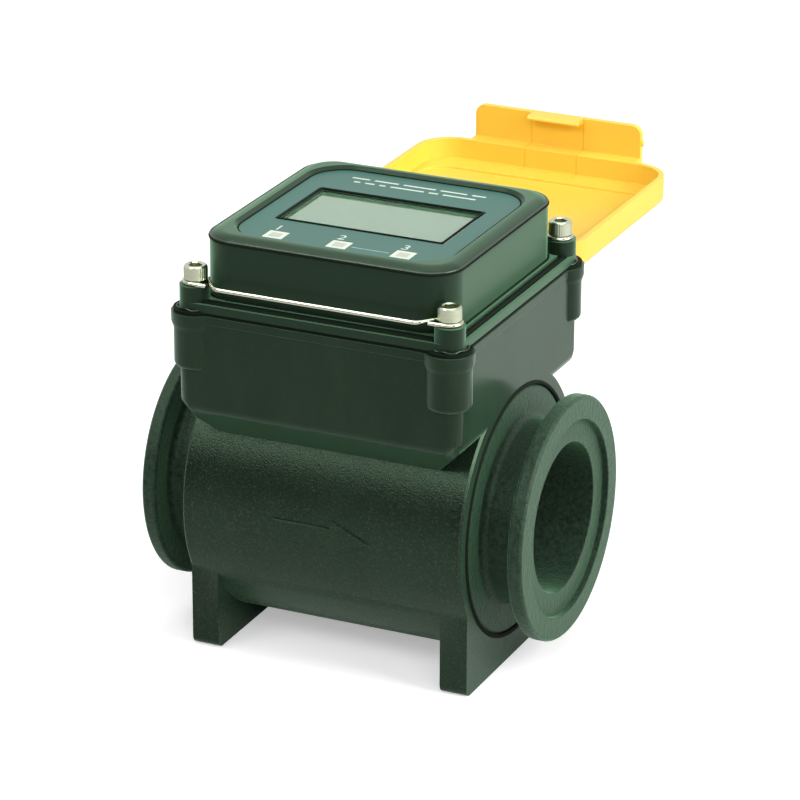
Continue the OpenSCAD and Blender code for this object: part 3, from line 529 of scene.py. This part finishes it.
# %% Display, pads and ink
LCD = plastic("lcd_face", (0.058, 0.132, 0.066), (0.074, 0.154, 0.082), (0.3, 0.36), grain=(4000, 0.05),
              flow=14, specular=0.15)
TOUCH = plastic("touch_pad", (0.62, 0.68, 0.56), (0.70, 0.76, 0.64), (0.4, 0.5), grain=(1500, 0.1), flow=200)
PAD_MARK = plastic("pad_mark", (0.42, 0.47, 0.38), (0.50, 0.55, 0.45), (0.4, 0.5), grain=(1500, 0.1),
                   flow=300)
PRINT = plastic("label_print", (0.52, 0.66, 0.56), (0.62, 0.76, 0.66), (0.4, 0.5), grain=(1500, 0.1),
                flow=300)
print("finishes so far:", len(bpy.data.materials))

# %% [markdown]
# ## Moulded edges
# A tool maker leaves no knife edges: each edge of a moulding has a small radius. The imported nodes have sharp
# ones. A copy of such a node is merged, its flat faces are dissolved into single polygons, and a Bevel modifier
# then rolls every edge that turns by more than a few tens of degrees. The modifier is kept live, so that one
# number changes the radius.

# %% Rounded copies of moulded nodes
FLAT_TURN = 0.4
EDGE_TURN, EDGE_STEPS = 32, 3


def rounded_copy(node, material, body, width, reshape=None):
    bm = bmesh.new()
    bm.from_mesh(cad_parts[node].data)
    bmesh.ops.remove_doubles(bm, verts=bm.verts, dist=2 * SAME_SPOT)
    bmesh.ops.dissolve_limit(bm, angle_limit=math.radians(FLAT_TURN), verts=bm.verts, edges=bm.edges)
    if reshape:
        reshape(bm)
    mesh = bpy.data.meshes.new(node + "_moulded")
    bm.to_mesh(mesh)
    bm.free()
    mesh.shade_smooth()
    piece = bpy.data.objects.new(node + "_moulded", mesh)
    scene.collection.objects.link(piece)
    mesh.materials.append(material)
    edge = piece.modifiers.new("edge", "BEVEL")
    edge.width = width * MM
    edge.segments = EDGE_STEPS
    edge.limit_method = "ANGLE"
    edge.angle_limit = math.radians(EDGE_TURN)
    edge.miter_outer = "MITER_ARC"
    flat = piece.modifiers.new("flat_faces", "WEIGHTED_NORMAL")
    flat.keep_sharp = False
    flat.weight = 100
    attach(piece, body)
    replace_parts(piece, node)
    print(node, "copied with", len(mesh.polygons), "faces, edges rounded", width, "mm")


# %% [markdown]
# ## Corner feet of the lower housing
# Along its sides, the lower housing's wall meets the sloping underside in a fold. At the corners the real
# moulding sweeps round instead. The copy is cut where each corner starts, and the points of the fold between
# those cuts are drawn up, most in the middle of the corner, as a finger would pull clay.

# %% Corner feet, and the copies
LOWER_HALF, LOWER_CORNER, LOWER_WALL = 50.3, 5.0, 33.2
CORNER_LIFT, FOLD_REACH, PAST_CUT = 3.6, 2.6, 0.02
CORNER_START = LOWER_HALF - LOWER_CORNER
wall_foot = gasket_foot - LOWER_WALL


def lift_corner_feet(bm):
    for axis, middle in ((Vector((1, 0, 0)), x_mid), (Vector((0, 1, 0)), 0)):
        for place in (middle - CORNER_START, middle + CORNER_START):
            bmesh.ops.bisect_plane(bm, geom=bm.verts[:] + bm.edges[:] + bm.faces[:], dist=SAME_SPOT,
                                   plane_co=axis * place * MM, plane_no=axis)
    moved = 0
    for vert in bm.verts:
        spot = vert.co / MM
        reach_x, reach_y = abs(spot.x - x_mid) - CORNER_START, abs(spot.y) - CORNER_START
        if min(reach_x, reach_y) > PAST_CUT and abs(spot.z - wall_foot) < FOLD_REACH:
            vert.co.z += CORNER_LIFT * math.sin(2 * math.atan2(reach_y, reach_x)) * MM
            moved += 1
    print("corner feet: moved", moved, "points near z =", round(wall_foot, 2), "mm")


rounded_copy("meter_body", BODY, "meter", 0.5, lift_corner_feet)
rounded_copy("display_housing", GLOSS, "meter", 0.4)
rounded_copy("display_bezel", BEZEL, "meter", 0.25)
rounded_copy("flip_cover", YELLOW, "cover", 0.35)
rounded_copy("inlet_flange", FITTING, "meter", 0.35)
rounded_copy("outlet_flange", FITTING, "meter", 0.35)

# %% [markdown]
# ## Socket screws
# Four stainless cap screws hold the display down. A real head is turned, knurled round its side so that it can
# be spun in by hand, and punched with a six-sided socket. One profile is spun round in 72 steps. Then every
# second column of the side is pulled in for the knurl, and the socket's ring is pulled from round to six-sided.

# %% Sizes of the screws
SCREW_AT = 45.0
HEAD_R, HEAD_H = 3.96, 4.83
SHANK_R, SHANK_L, SHANK_TIP = 2.415, 22.2, 0.4
HEAD_FOOT_IN_AND_UP = ((0.3, 0.0), (0.05, 0.25), (0.0, 0.45))
HEAD_CROWN_IN_AND_DOWN = ((0.0, 1.0), (0.1, 0.55), (0.5, 0.1), (0.7, 0.0))
SOCKET_R, SOCKET_FLAT, SOCKET_DEPTH, SOCKET_CHAMFER, SOCKET_CONE = 2.2, 1.985, 2.6, 0.3, 0.4
KNURL_DEPTH, KNURL_STEPS, KNURL_CRISP = 0.13, 72, 25
ON_RING = 0.01
head_base = head_top - HEAD_H
print("screw heads from", round(head_base, 2), "to", round(head_top, 2), "mm")


# %% Turned shapes, and bmeshes made pieces
def turned(bm, profile, centre):
    """Spins points of (radius, level) in mm round an upright line through centre."""
    points = [bm.verts.new(((centre.x + r) * MM, centre.y * MM, z * MM)) for r, z in profile]
    edges = [bm.edges.new(pair) for pair in zip(points, points[1:])]
    bmesh.ops.spin(bm, geom=points + edges, cent=centre * MM, axis=(0, 0, 1), angle=math.tau,
                   steps=KNURL_STEPS, use_merge=True)
    bmesh.ops.remove_doubles(bm, verts=bm.verts, dist=1.5 * SAME_SPOT)


def piece_from(bm, name, material, body, slot, sharp=32):
    """Makes a finished piece, with edges that turn by more than sharp degrees kept crisp."""
    mesh = bpy.data.meshes.new(name)
    bmesh.ops.recalc_face_normals(bm, faces=bm.faces)
    bm.to_mesh(mesh)
    bm.free()
    mesh.shade_smooth()
    mesh.set_sharp_from_angle(angle=math.radians(sharp))
    mesh.materials.append(material)
    piece = bpy.data.objects.new(name, mesh)
    scene.collection.objects.link(piece)
    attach(piece, body)
    return piece


def joined(parts):
    """Puts several bmeshes into one."""
    whole = bmesh.new()
    for part in parts:
        mesh = bpy.data.meshes.new("part")
        part.to_mesh(mesh)
        part.free()
        whole.from_mesh(mesh)
        bpy.data.meshes.remove(mesh)
    return whole


# %% Four screws
def six_sided(angle, flat):
    return flat / math.cos((angle + math.pi / 6) % (math.pi / 3) - math.pi / 6)


def screw_profile():
    tip = head_base - SHANK_L
    shank = [(0, tip), (SHANK_R - SHANK_TIP, tip), (SHANK_R, tip + SHANK_TIP), (SHANK_R, head_base)]
    foot = [(HEAD_R - inwards, head_base + up) for inwards, up in HEAD_FOOT_IN_AND_UP]
    crown = [(HEAD_R - inwards, head_top - down) for inwards, down in HEAD_CROWN_IN_AND_DOWN]
    socket = [(SOCKET_R + SOCKET_CHAMFER, head_top), (SOCKET_R, head_top - SOCKET_CHAMFER),
              (SOCKET_R, head_top - SOCKET_DEPTH), (0, head_top - SOCKET_DEPTH - SOCKET_CONE)]
    return shank + foot + crown + socket


def one_screw(centre):
    bm = bmesh.new()
    turned(bm, screw_profile(), centre)
    for vert in bm.verts:
        arm = vert.co / MM - centre
        reach, angle = math.hypot(arm.x, arm.y), math.atan2(arm.y, arm.x)
        wanted = reach
        if abs(reach - HEAD_R) < ON_RING and round(angle / math.tau * KNURL_STEPS) % 2:
            wanted = HEAD_R - KNURL_DEPTH
        if abs(reach - SOCKET_R) < ON_RING:
            wanted = six_sided(angle, SOCKET_FLAT)
        if reach > ON_RING:
            vert.co.x = (centre.x + arm.x * wanted / reach) * MM
            vert.co.y = (centre.y + arm.y * wanted / reach) * MM
    return bm


def socket_screws():
    centres = [Vector((x_mid + side * SCREW_AT, end * SCREW_AT, 0)) for side in (-1, 1) for end in (-1, 1)]
    whole = joined(map(one_screw, centres))
    screws = piece_from(whole, "socket_screws", STEEL, "meter", "stainless", KNURL_CRISP)
    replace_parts(screws, "housing_screws")
    print("screws:", len(centres), "of", len(screws.data.polygons), "faces together")


socket_screws()

# %% [markdown]
# ## Bent wires
# The latch wire in front and the hinge wire behind are one bend each of 1.6 mm stainless wire: a straight run,
# a soft corner, a slant to the screw, and an eye that ends flat under its head. A round wire is a curve with a
# round bevel, drawn through the same corners as in the frame, and turned into a mesh when its route is right.
# The same helper draws every bead further on, and the black strings of painted shade.


# %% Round string
def round_string(route, radius, closed, facets=3):
    """Lays a round string of the given radius through the points of a route, all in mm."""
    curve = bpy.data.curves.new("string", "CURVE")
    curve.dimensions = "3D"
    curve.bevel_depth = radius * MM
    curve.bevel_resolution = facets
    curve.use_fill_caps = not closed
    spline = curve.splines.new("POLY")
    spline.points.add(len(route) - 1)
    spline.use_cyclic_u = closed
    for point, place in zip(spline.points, route):
        point.co = (*(Vector(place) * MM), 1)
    drawn = bpy.data.objects.new("string", curve)
    mesh = bpy.data.meshes.new_from_object(drawn)
    bpy.data.objects.remove(drawn)
    bm = bmesh.new()
    bm.from_mesh(mesh)
    bpy.data.meshes.remove(mesh)
    bmesh.ops.remove_doubles(bm, verts=bm.verts, dist=SAME_SPOT)
    return bm


# %% Route of half a wire
WIRE_R, UNDER_HEAD = 0.775, 0.025
WIRE_CORNER, WIRE_BEND = 35.7, 1.6
EYE_R, EYE_END = 3.8, 5.6
SLANT_SHARES = (0.3, 0.45, 0.6, 0.75)
EYE_STEPS, BEND_STEPS = 30, 8


def half_wire(reach, rise):
    """One half of a wire, from its corner to its free end, as points beside and behind the screws' middle."""
    corner, screw = Vector((WIRE_CORNER, reach)), Vector((SCREW_AT, 0))
    to_eye = screw - corner
    way = math.atan2(to_eye.y, to_eye.x) - math.asin(EYE_R / to_eye.length)
    slant = Vector((math.cos(way), math.sin(way)))
    touch_angle = way - math.pi / 2
    touch = screw + EYE_R * Vector((math.cos(touch_angle), math.sin(touch_angle)))
    first_share, last_share = SLANT_SHARES[0], SLANT_SHARES[-1]
    route = []
    for step in range(BEND_STEPS + 1):
        t = step / BEND_STEPS
        spot = ((1 - t) ** 2 * (corner - Vector((WIRE_BEND, 0))) + 2 * t * (1 - t) * corner
                + t * t * (corner + WIRE_BEND * slant))
        route.append((spot.x, spot.y, rise))
    for share in SLANT_SHARES:
        spot = corner.lerp(touch, share)
        route.append((spot.x, spot.y, rise * (last_share - share) / (last_share - first_share)))
    for step in range(EYE_STEPS + 1):
        angle = touch_angle + (math.pi / 2 - touch_angle) * step / EYE_STEPS
        route.append((screw.x + EYE_R * math.cos(angle), EYE_R * math.sin(angle), 0))
    route.append((screw.x - EYE_END, EYE_R, 0))
    return route


# %% Latch wire and hinge wire
SMOOTH_ROUND = 60


def bent_wire(name, node, reach, rise, side):
    half = half_wire(reach, rise)
    level = head_base - WIRE_R - UNDER_HEAD
    whole = [(-x, y, z) for x, y, z in reversed(half)] + half
    route = [(x_mid + x, side * (SCREW_AT + y), level + z) for x, y, z in whole]
    string = round_string(route, WIRE_R, False, facets=4)
    wire = piece_from(string, name, DRAWN, "meter", "stainless", SMOOTH_ROUND)
    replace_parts(wire, node)
    low, high = box_mm(node)
    print(name, "has", len(route), "points; the frame's wire spans y", round(low.y, 1), "to", round(high.y, 1))


bent_wire("latch_wire_bent", "latch_wire", 5.2, 0.0, -1)
bent_wire("hinge_wire_bent", "hinge_wire", 4.3, 1.4, 1)

# %% [markdown]
# ## Window
# The display looks evenly grey, because its grey film is glued under a thin clear pane, and only the frame round
# them is black. So the frame's clear block is replaced by what the eye meets: a pane with a small bevel, the
# film under it, and a black surround down to the display. Each is a cube with its upright edges bevelled round.


# %% Block with rounded corners
def block(low, high, corner, edge):
    bm = bmesh.new()
    made = bmesh.ops.create_cube(bm, size=MM)["verts"]
    bmesh.ops.scale(bm, verts=made, vec=high - low)
    bmesh.ops.translate(bm, verts=made, vec=(low + high) / 2 * MM)
    edges = {e for v in made for e in v.link_edges}
    upright = [e for e in edges if abs(e.verts[0].co.z - e.verts[1].co.z) > 0.1 * MM]
    bmesh.ops.bevel(bm, geom=upright, offset=corner * MM, affect="EDGES", segments=6, profile=0.5, material=-1)
    top = [e for e in bm.edges if min(v.co.z for v in e.verts) > high.z * MM - SAME_SPOT]
    if edge:
        bmesh.ops.bevel(bm, geom=top, offset=edge * MM, affect="EDGES", segments=2, profile=0.5, material=-1)
    return bm


# %% Window pane, film and surround
PANE_T, FILM_T, LENS_LIP, FILM_INSET = 0.25, 0.3, 2.1, 0.15
PANE_CORNER, PANE_EDGE, FILM_CORNER = 1.0, 0.08, 0.6
GLUE_GAP, PANE_CRISP = 0.02, 12


def window_parts():
    lip, inset = Vector((LENS_LIP, LENS_LIP, 0)), Vector((FILM_INSET, FILM_INSET, 0))
    low, high = window_low + lip, window_high - lip
    pane_z, film_z = high.z - PANE_T, high.z - PANE_T - FILM_T
    pane = block(Vector((low.x, low.y, pane_z)), high, PANE_CORNER, PANE_EDGE)
    film = block(Vector((low.x, low.y, film_z)) + inset, Vector((high.x, high.y, pane_z - GLUE_GAP)) - inset,
                 FILM_CORNER, 0)
    surround = block(window_low, Vector((high.x, high.y, film_z - GLUE_GAP)), PANE_CORNER, 0)
    for bm, name, material, slot in ((pane, "window_pane", WINDOW, "clear_window"),
                                     (film, "display_film", LCD, "lcd_face"),
                                     (surround, "window_surround", RUBBER_AND_PAINTED_SHADE, "clear_window")):
        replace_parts(piece_from(bm, name, material, "meter", slot, PANE_CRISP), "display_window")
    print("window", [round(v, 1) for v in high - low], "mm, its film", round(window_high.z - film_z, 2),
          "mm down")


window_parts()

# %% [markdown]
# ## Print on the label
# The label's print is kept plain. The three pads are numbered, a thin line links the second and third, and two
# rows of short bars stand above the window, as a hint for the user would. All of it is flat ink, a few
# hundredths of a millimetre thick, so text objects and small grids do, joined into one mesh.

# %% Sizes of the print
PAD, MARK_SIZE, INK_T = 7.0, (4.0, 3.8), 0.03
NUMBER_SIZE, NUMBER_LEFT, NUMBER_ABOVE, NUMBER_BOLD = 6.0, 3.4, 0.9, 0.02
LINK_WIDE, LINK_SHORT, LINK_BELOW = 0.28, 2.4, 0.6
HINT_ROWS = ((6.4, 8.8, 11.8, 9.6, 5.0), (2.3, 3.4, 2.3, 12.2, 3.4, 11.8))
HINT_GAP, HINT_WIDE, HINT_LEFT, HINT_FROM_EDGE, HINT_PITCH = 1.8, 1.1, 0.3, 7.2, 3.6
ink_z = label_high.z + INK_T
pad_pitch = (pads_high.x - pads_low.x) / 2 - PAD / 2
pad_y = (pads_low.y + pads_high.y) / 2
print("pads", round(pad_pitch, 2), "mm apart")


# %% Bars and numbers of ink
def add_bar(bm, x, y, width, depth, z):
    made = bmesh.ops.create_grid(bm, x_segments=1, y_segments=1, size=0.5 * MM)
    bmesh.ops.scale(bm, verts=made["verts"], vec=(width, depth, 1))
    bmesh.ops.translate(bm, verts=made["verts"], vec=Vector((x, y, z)) * MM)


def add_number(bm, word, x, y):
    text = bpy.data.curves.new("number", "FONT")
    text.body = word
    text.size = NUMBER_SIZE * MM
    text.offset = NUMBER_BOLD * MM
    holder = bpy.data.objects.new("number", text)
    mesh = bpy.data.meshes.new_from_object(holder)
    mesh.transform(Matrix.Translation(Vector((x, y, ink_z)) * MM))
    bm.from_mesh(mesh)
    bpy.data.objects.remove(holder)
    bpy.data.meshes.remove(mesh)


# %% Label print and pad marks
def label_print():
    bm = bmesh.new()
    for index, word in enumerate("123"):
        add_number(bm, word, x_mid + (index - 1) * pad_pitch - NUMBER_LEFT, pad_y + PAD / 2 + NUMBER_ABOVE)
    add_bar(bm, x_mid + pad_pitch / 2, pad_y - LINK_BELOW, pad_pitch - PAD - LINK_SHORT, LINK_WIDE, ink_z)
    for row, widths in enumerate(HINT_ROWS):
        start = x_mid - HINT_LEFT - (sum(widths) + HINT_GAP * (len(widths) - 1)) / 2
        for width in widths:
            add_bar(bm, start + width / 2, label_high.y - HINT_FROM_EDGE - row * HINT_PITCH, width, HINT_WIDE,
                    ink_z)
            start += width + HINT_GAP
    ink = piece_from(bm, "label_print", PRINT, "meter", "label_film")
    print("label print:", len(ink.data.polygons), "faces of flat ink")


def pad_marks():
    bm = bmesh.new()
    for index in (-1, 0, 1):
        add_bar(bm, x_mid + index * pad_pitch, pad_y, *MARK_SIZE, pads_high.z + INK_T)
    piece_from(bm, "pad_marks", PAD_MARK, "meter", "touch_metal")


label_print()
pad_marks()

# %% [markdown]
# ## Lines round the display
# Four thin lines follow the display's round-cornered outline. Under the bezel's polished lip, a black line is
# painted shade in the gap to the wall below, and black lines of painted shade also run round the edges of the
# window and of the label. Each could be cut into its neighbours, but so thin a line is only a dark thread to the
# eye. So each is a round string laid along a frame of the right size.

# %% Round-cornered routes, and pieces made of strings
CORNER_STEPS = 12


def round_frame(half_x, half_y, corner, z):
    route = []
    for turn, (sx, sy) in enumerate(((1, 1), (-1, 1), (-1, -1), (1, -1))):
        for step in range(CORNER_STEPS + 1):
            angle = math.pi / 2 * (turn + step / CORNER_STEPS)
            route.append((x_mid + sx * (half_x - corner) + corner * math.cos(angle),
                          sy * (half_y - corner) + corner * math.sin(angle), z))
    return route


def strings(name, routes, radius, closed=True, material=RUBBER_AND_PAINTED_SHADE, slot="seal_rubber"):
    whole = joined(round_string(route, radius, closed) for route in routes)
    piece = piece_from(whole, name, material, "meter", slot, SMOOTH_ROUND)
    print(name, "is", round(2 * radius, 2), "mm thick, with", len(piece.data.polygons), "faces")


# %% Lip, seam and edges round the display
SEAM_HALF, SEAM_CORNER, SEAM_R, SEAM_BELOW_LIP = 44.5, 11.2, 0.36, 0.6
LIP_HALF, LIP_R, LIP_BELOW_TOP = 44.3, 0.32, 1.6
EDGE_R, EDGE_CORNER, EDGE_BESIDE, EDGE_SUNK = 0.42, 0.9, 0.12, 0.08
LABEL_CORNER, LABEL_EDGE_R = 12.5, 0.33
lip_z = bezel_top - LIP_BELOW_TOP
window_half = (window_high - window_low) / 2 - Vector((1, 1, 0)) * (LENS_LIP - EDGE_BESIDE)
label_half = (label_high - label_low) / 2
# A black string of painted shade in the gap under the lip.
strings("bezel_seam_painted_shade", [round_frame(SEAM_HALF, SEAM_HALF, SEAM_CORNER, lip_z - SEAM_BELOW_LIP)], SEAM_R)
strings("bezel_lip", [round_frame(LIP_HALF, LIP_HALF, SEAM_CORNER, lip_z)], LIP_R, material=POLISHED,
        slot="glossy_black")
# Black strings of painted shade round the window's edge and the label's edge.
strings("window_edge_painted_shade", [round_frame(window_half.x, window_half.y, EDGE_CORNER, label_high.z - EDGE_SUNK)],
        EDGE_R)
strings("label_edge_painted_shade", [round_frame(label_half.x, label_half.y, LABEL_CORNER, label_high.z)], LABEL_EDGE_R)

# %% [markdown]
# ## Gasket squeezed out round the bosses
# Where the four screws pull hardest, the soft gasket is squeezed out of its joint and stands as a wet-looking,
# uneven bead round the outside of each boss. A string runs round the boss on an arc, and two slow waves move it
# in and out and up and down. The waves start at another point on each boss, so that no two are alike.

# %% Squeezed gasket
BOSS_MIDDLE, BULGE_R, BEAD_R, BULGE_ABOVE = 45.1, 5.7, 0.5, 0.2
BULGE_SPREAD, BULGE_STEPS = math.radians(112), 40
WAVE_OUT, WAVES_OUT, WAVE_UP, WAVES_UP = 0.35, 9, 0.18, 13


def squeezed_routes():
    for turn in range(4):
        outward = math.pi / 4 + turn * math.pi / 2
        middle = Vector((x_mid + math.copysign(BOSS_MIDDLE, math.cos(outward)),
                         math.copysign(BOSS_MIDDLE, math.sin(outward)), gasket_top + BULGE_ABOVE))
        route = []
        for step in range(BULGE_STEPS + 1):
            along = step / BULGE_STEPS * 2 - 1
            angle = outward + along * BULGE_SPREAD
            reach = BULGE_R + WAVE_OUT * math.sin(WAVES_OUT * along + turn)
            route.append(middle + Vector((math.cos(angle), math.sin(angle), 0)) * reach
                         + Vector((0, 0, WAVE_UP * math.sin(WAVES_UP * along + 2 * turn))))
        yield route


strings("squeezed_gasket", squeezed_routes(), BEAD_R, closed=False, material=WET_RUBBER)

# %% [markdown]
# ## Painted shade in the moat and at the wall's foot
# A shallow moat runs round the display's wall, between the wall and the raised rim of its flange. A black string
# lies in each of its four sides as painted shade, which makes the moat look deep and black, and a fine dark line
# of painted shade marks where the wall meets the ledge. The four are straight strings, and the line is one more
# round frame.

# %% Painted shade in the moat and at the wall's foot
MOAT_AT, MOAT_REACH, MOAT_SHADE_R, MOAT_SHADE_ABOVE_GASKET = 47.5, 40.6, 1.15, 2.1
FOOT_HALF, FOOT_R, LEDGE_ABOVE_GASKET = 44.7, 0.42, 3.3


# Four straight black strings, painted shade lying in the moat's sides.
def moat_painted_shade():
    for turn in range(4):
        along = Vector((math.cos(turn * math.pi / 2), math.sin(turn * math.pi / 2), 0))
        across = Vector((along.y, -along.x, 0))
        middle = Vector((x_mid, 0, gasket_top + MOAT_SHADE_ABOVE_GASKET)) + across * MOAT_AT
        yield [middle - along * MOAT_REACH, middle, middle + along * MOAT_REACH]


strings("moat_painted_shade", moat_painted_shade(), MOAT_SHADE_R, closed=False)
# A dark line of painted shade where the wall meets the ledge.
strings("wall_foot_painted_shade", [round_frame(FOOT_HALF, FOOT_HALF, SEAM_CORNER, gasket_top + LEDGE_ABOVE_GASKET)],
        FOOT_R)

# %% [markdown]
# ## Seals round the flange discs
# Each end fitting has a disc that sits in a recess of the body with a seal round it. The clamped seal stands a
# little out of the gap as a dark bead. That is a string closed to a ring, once at each end face.

# %% Seal beads
END_FACE = 50.3
SEAL_BEAD_AT, SEAL_BEAD_R, SEAL_BEAD_SUNK, SEAL_STEPS = 42.65, 0.75, 0.15, 96


def seal_circles():
    for side in (-1, 1):
        angles = [math.tau * step / SEAL_STEPS for step in range(SEAL_STEPS)]
        yield [(x_mid + side * (END_FACE - SEAL_BEAD_SUNK), SEAL_BEAD_AT * math.cos(a),
                SEAL_BEAD_AT * math.sin(a)) for a in angles]


strings("flange_seal_beads", seal_circles(), SEAL_BEAD_R)

# %% [markdown]
# ## Flow arrow
# The arrow stands a little proud of the barrel, so that light from above leaves a dark line along its upper
# edges only. Its outline is one face. It is cut into strips, extruded, and every point is then set at its own
# radius from the pipe's axis, which bends the arrow round the barrel.

# %% Flow arrow
BARREL_R = 47.6
ARROW_RISE, ARROW_SUNK, ARROW_ROUND = 1.0, 1.0, 0.15
ARROW_CRISP, ARROW_EDGE_TURN = 40, 50
ARROW = ((-16.8, -3.1), (4.2, -3.1), (4.2, -5.9), (17.4, 0), (4.2, 5.9), (4.2, 3.1), (-16.8, 3.1))


def flow_arrow():
    bm = bmesh.new()
    bm.faces.new([bm.verts.new(((x_mid + x) * MM, -BARREL_R * MM, z * MM)) for x, z in ARROW])
    for level in range(-5, 6):
        bmesh.ops.bisect_plane(bm, geom=bm.verts[:] + bm.edges[:] + bm.faces[:], dist=0.1 * SAME_SPOT,
                               plane_co=(0, 0, level * MM), plane_no=(0, 0, 1))
    outer = bmesh.ops.extrude_face_region(bm, geom=bm.faces[:])["geom"]
    raised = {v for v in outer if isinstance(v, bmesh.types.BMVert)}
    for vert in bm.verts:
        radius = BARREL_R + (ARROW_RISE if vert in raised else -ARROW_SUNK)
        vert.co.y = -math.sqrt((radius * MM) ** 2 - vert.co.z ** 2)
    arrow = piece_from(bm, "flow_arrow", BODY, "meter", "body_plastic", ARROW_CRISP)
    edge = arrow.modifiers.new("edge", "BEVEL")
    edge.width, edge.segments = ARROW_ROUND * MM, 2
    edge.limit_method, edge.angle_limit = "ANGLE", math.radians(ARROW_EDGE_TURN)
    print("arrow of", len(arrow.data.polygons), "faces, raised", ARROW_RISE, "mm")


flow_arrow()

# %% [markdown]
# ## Nub on the latch tab
# A small moulded nub on the side of the tab gives a fingernail a hold. It is a sphere, pressed flatter from
# front to back and drawn longer upwards, and half sunk in the tab's edge.

# %% Nub
NUB_R, NUB_SHARES = 1.1, (1.0, 0.8, 1.3)
NUB_BESIDE, NUB_FROM_BACK, NUB_BELOW_TOP = 32.0, 1.2, 6.3


def tab_nub():
    place = Vector((x_mid + NUB_BESIDE, cover_high.y - NUB_FROM_BACK, cover_high.z - NUB_BELOW_TOP))
    bm = bmesh.new()
    bmesh.ops.create_uvsphere(bm, u_segments=20, v_segments=12, radius=NUB_R * MM)
    bmesh.ops.scale(bm, verts=bm.verts, vec=NUB_SHARES)
    bmesh.ops.translate(bm, verts=bm.verts, vec=place * MM)
    piece_from(bm, "tab_nub", YELLOW, "cover", "cover_yellow", SMOOTH_ROUND)
    print("nub at", [round(v, 1) for v in place])


tab_nub()

# %% [markdown]
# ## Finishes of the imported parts
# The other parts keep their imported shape, most of them inside the meter, and only change their finish. A part
# that a piece above stands for gets one too, so that nothing is left plain if it is ever shown.

# %% Finishes
FINISHES = (
    (RUBBER_AND_PAINTED_SHADE, ("inlet_seal", "outlet_seal", "inlet_oring", "outlet_oring", "housing_gasket")),
    (WHITE, ("inlet_support", "outlet_support", "rotor", "coil_bobbin")),
    (BRASS, ("inlet_bearing", "outlet_bearing", "threaded_inserts")),
    (STEEL, ("rotor_shaft", "rotor_magnets", "thrust_washers", "battery_contacts", "board_screws",
             "housing_screws")),
    (DRAWN, ("latch_wire", "hinge_wire")),
    (COPPER, ("coil_winding",)),
    (BODY, ("battery_holder",)),
    (JACKET, ("battery_cells",)),
    (BOARD, ("circuit_board",)),
    (LABEL, ("label_panel",)),
    (WINDOW, ("display_window",)),
    (LCD, ("lcd_module",)),
    (TOUCH, ("touch_contacts",)),
)
for material, nodes in FINISHES:
    for node in nodes:
        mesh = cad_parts[node].data
        mesh.materials.clear()
        mesh.materials.append(material)
print("packed parts finished:", sum(len(nodes) for _, nodes in FINISHES))
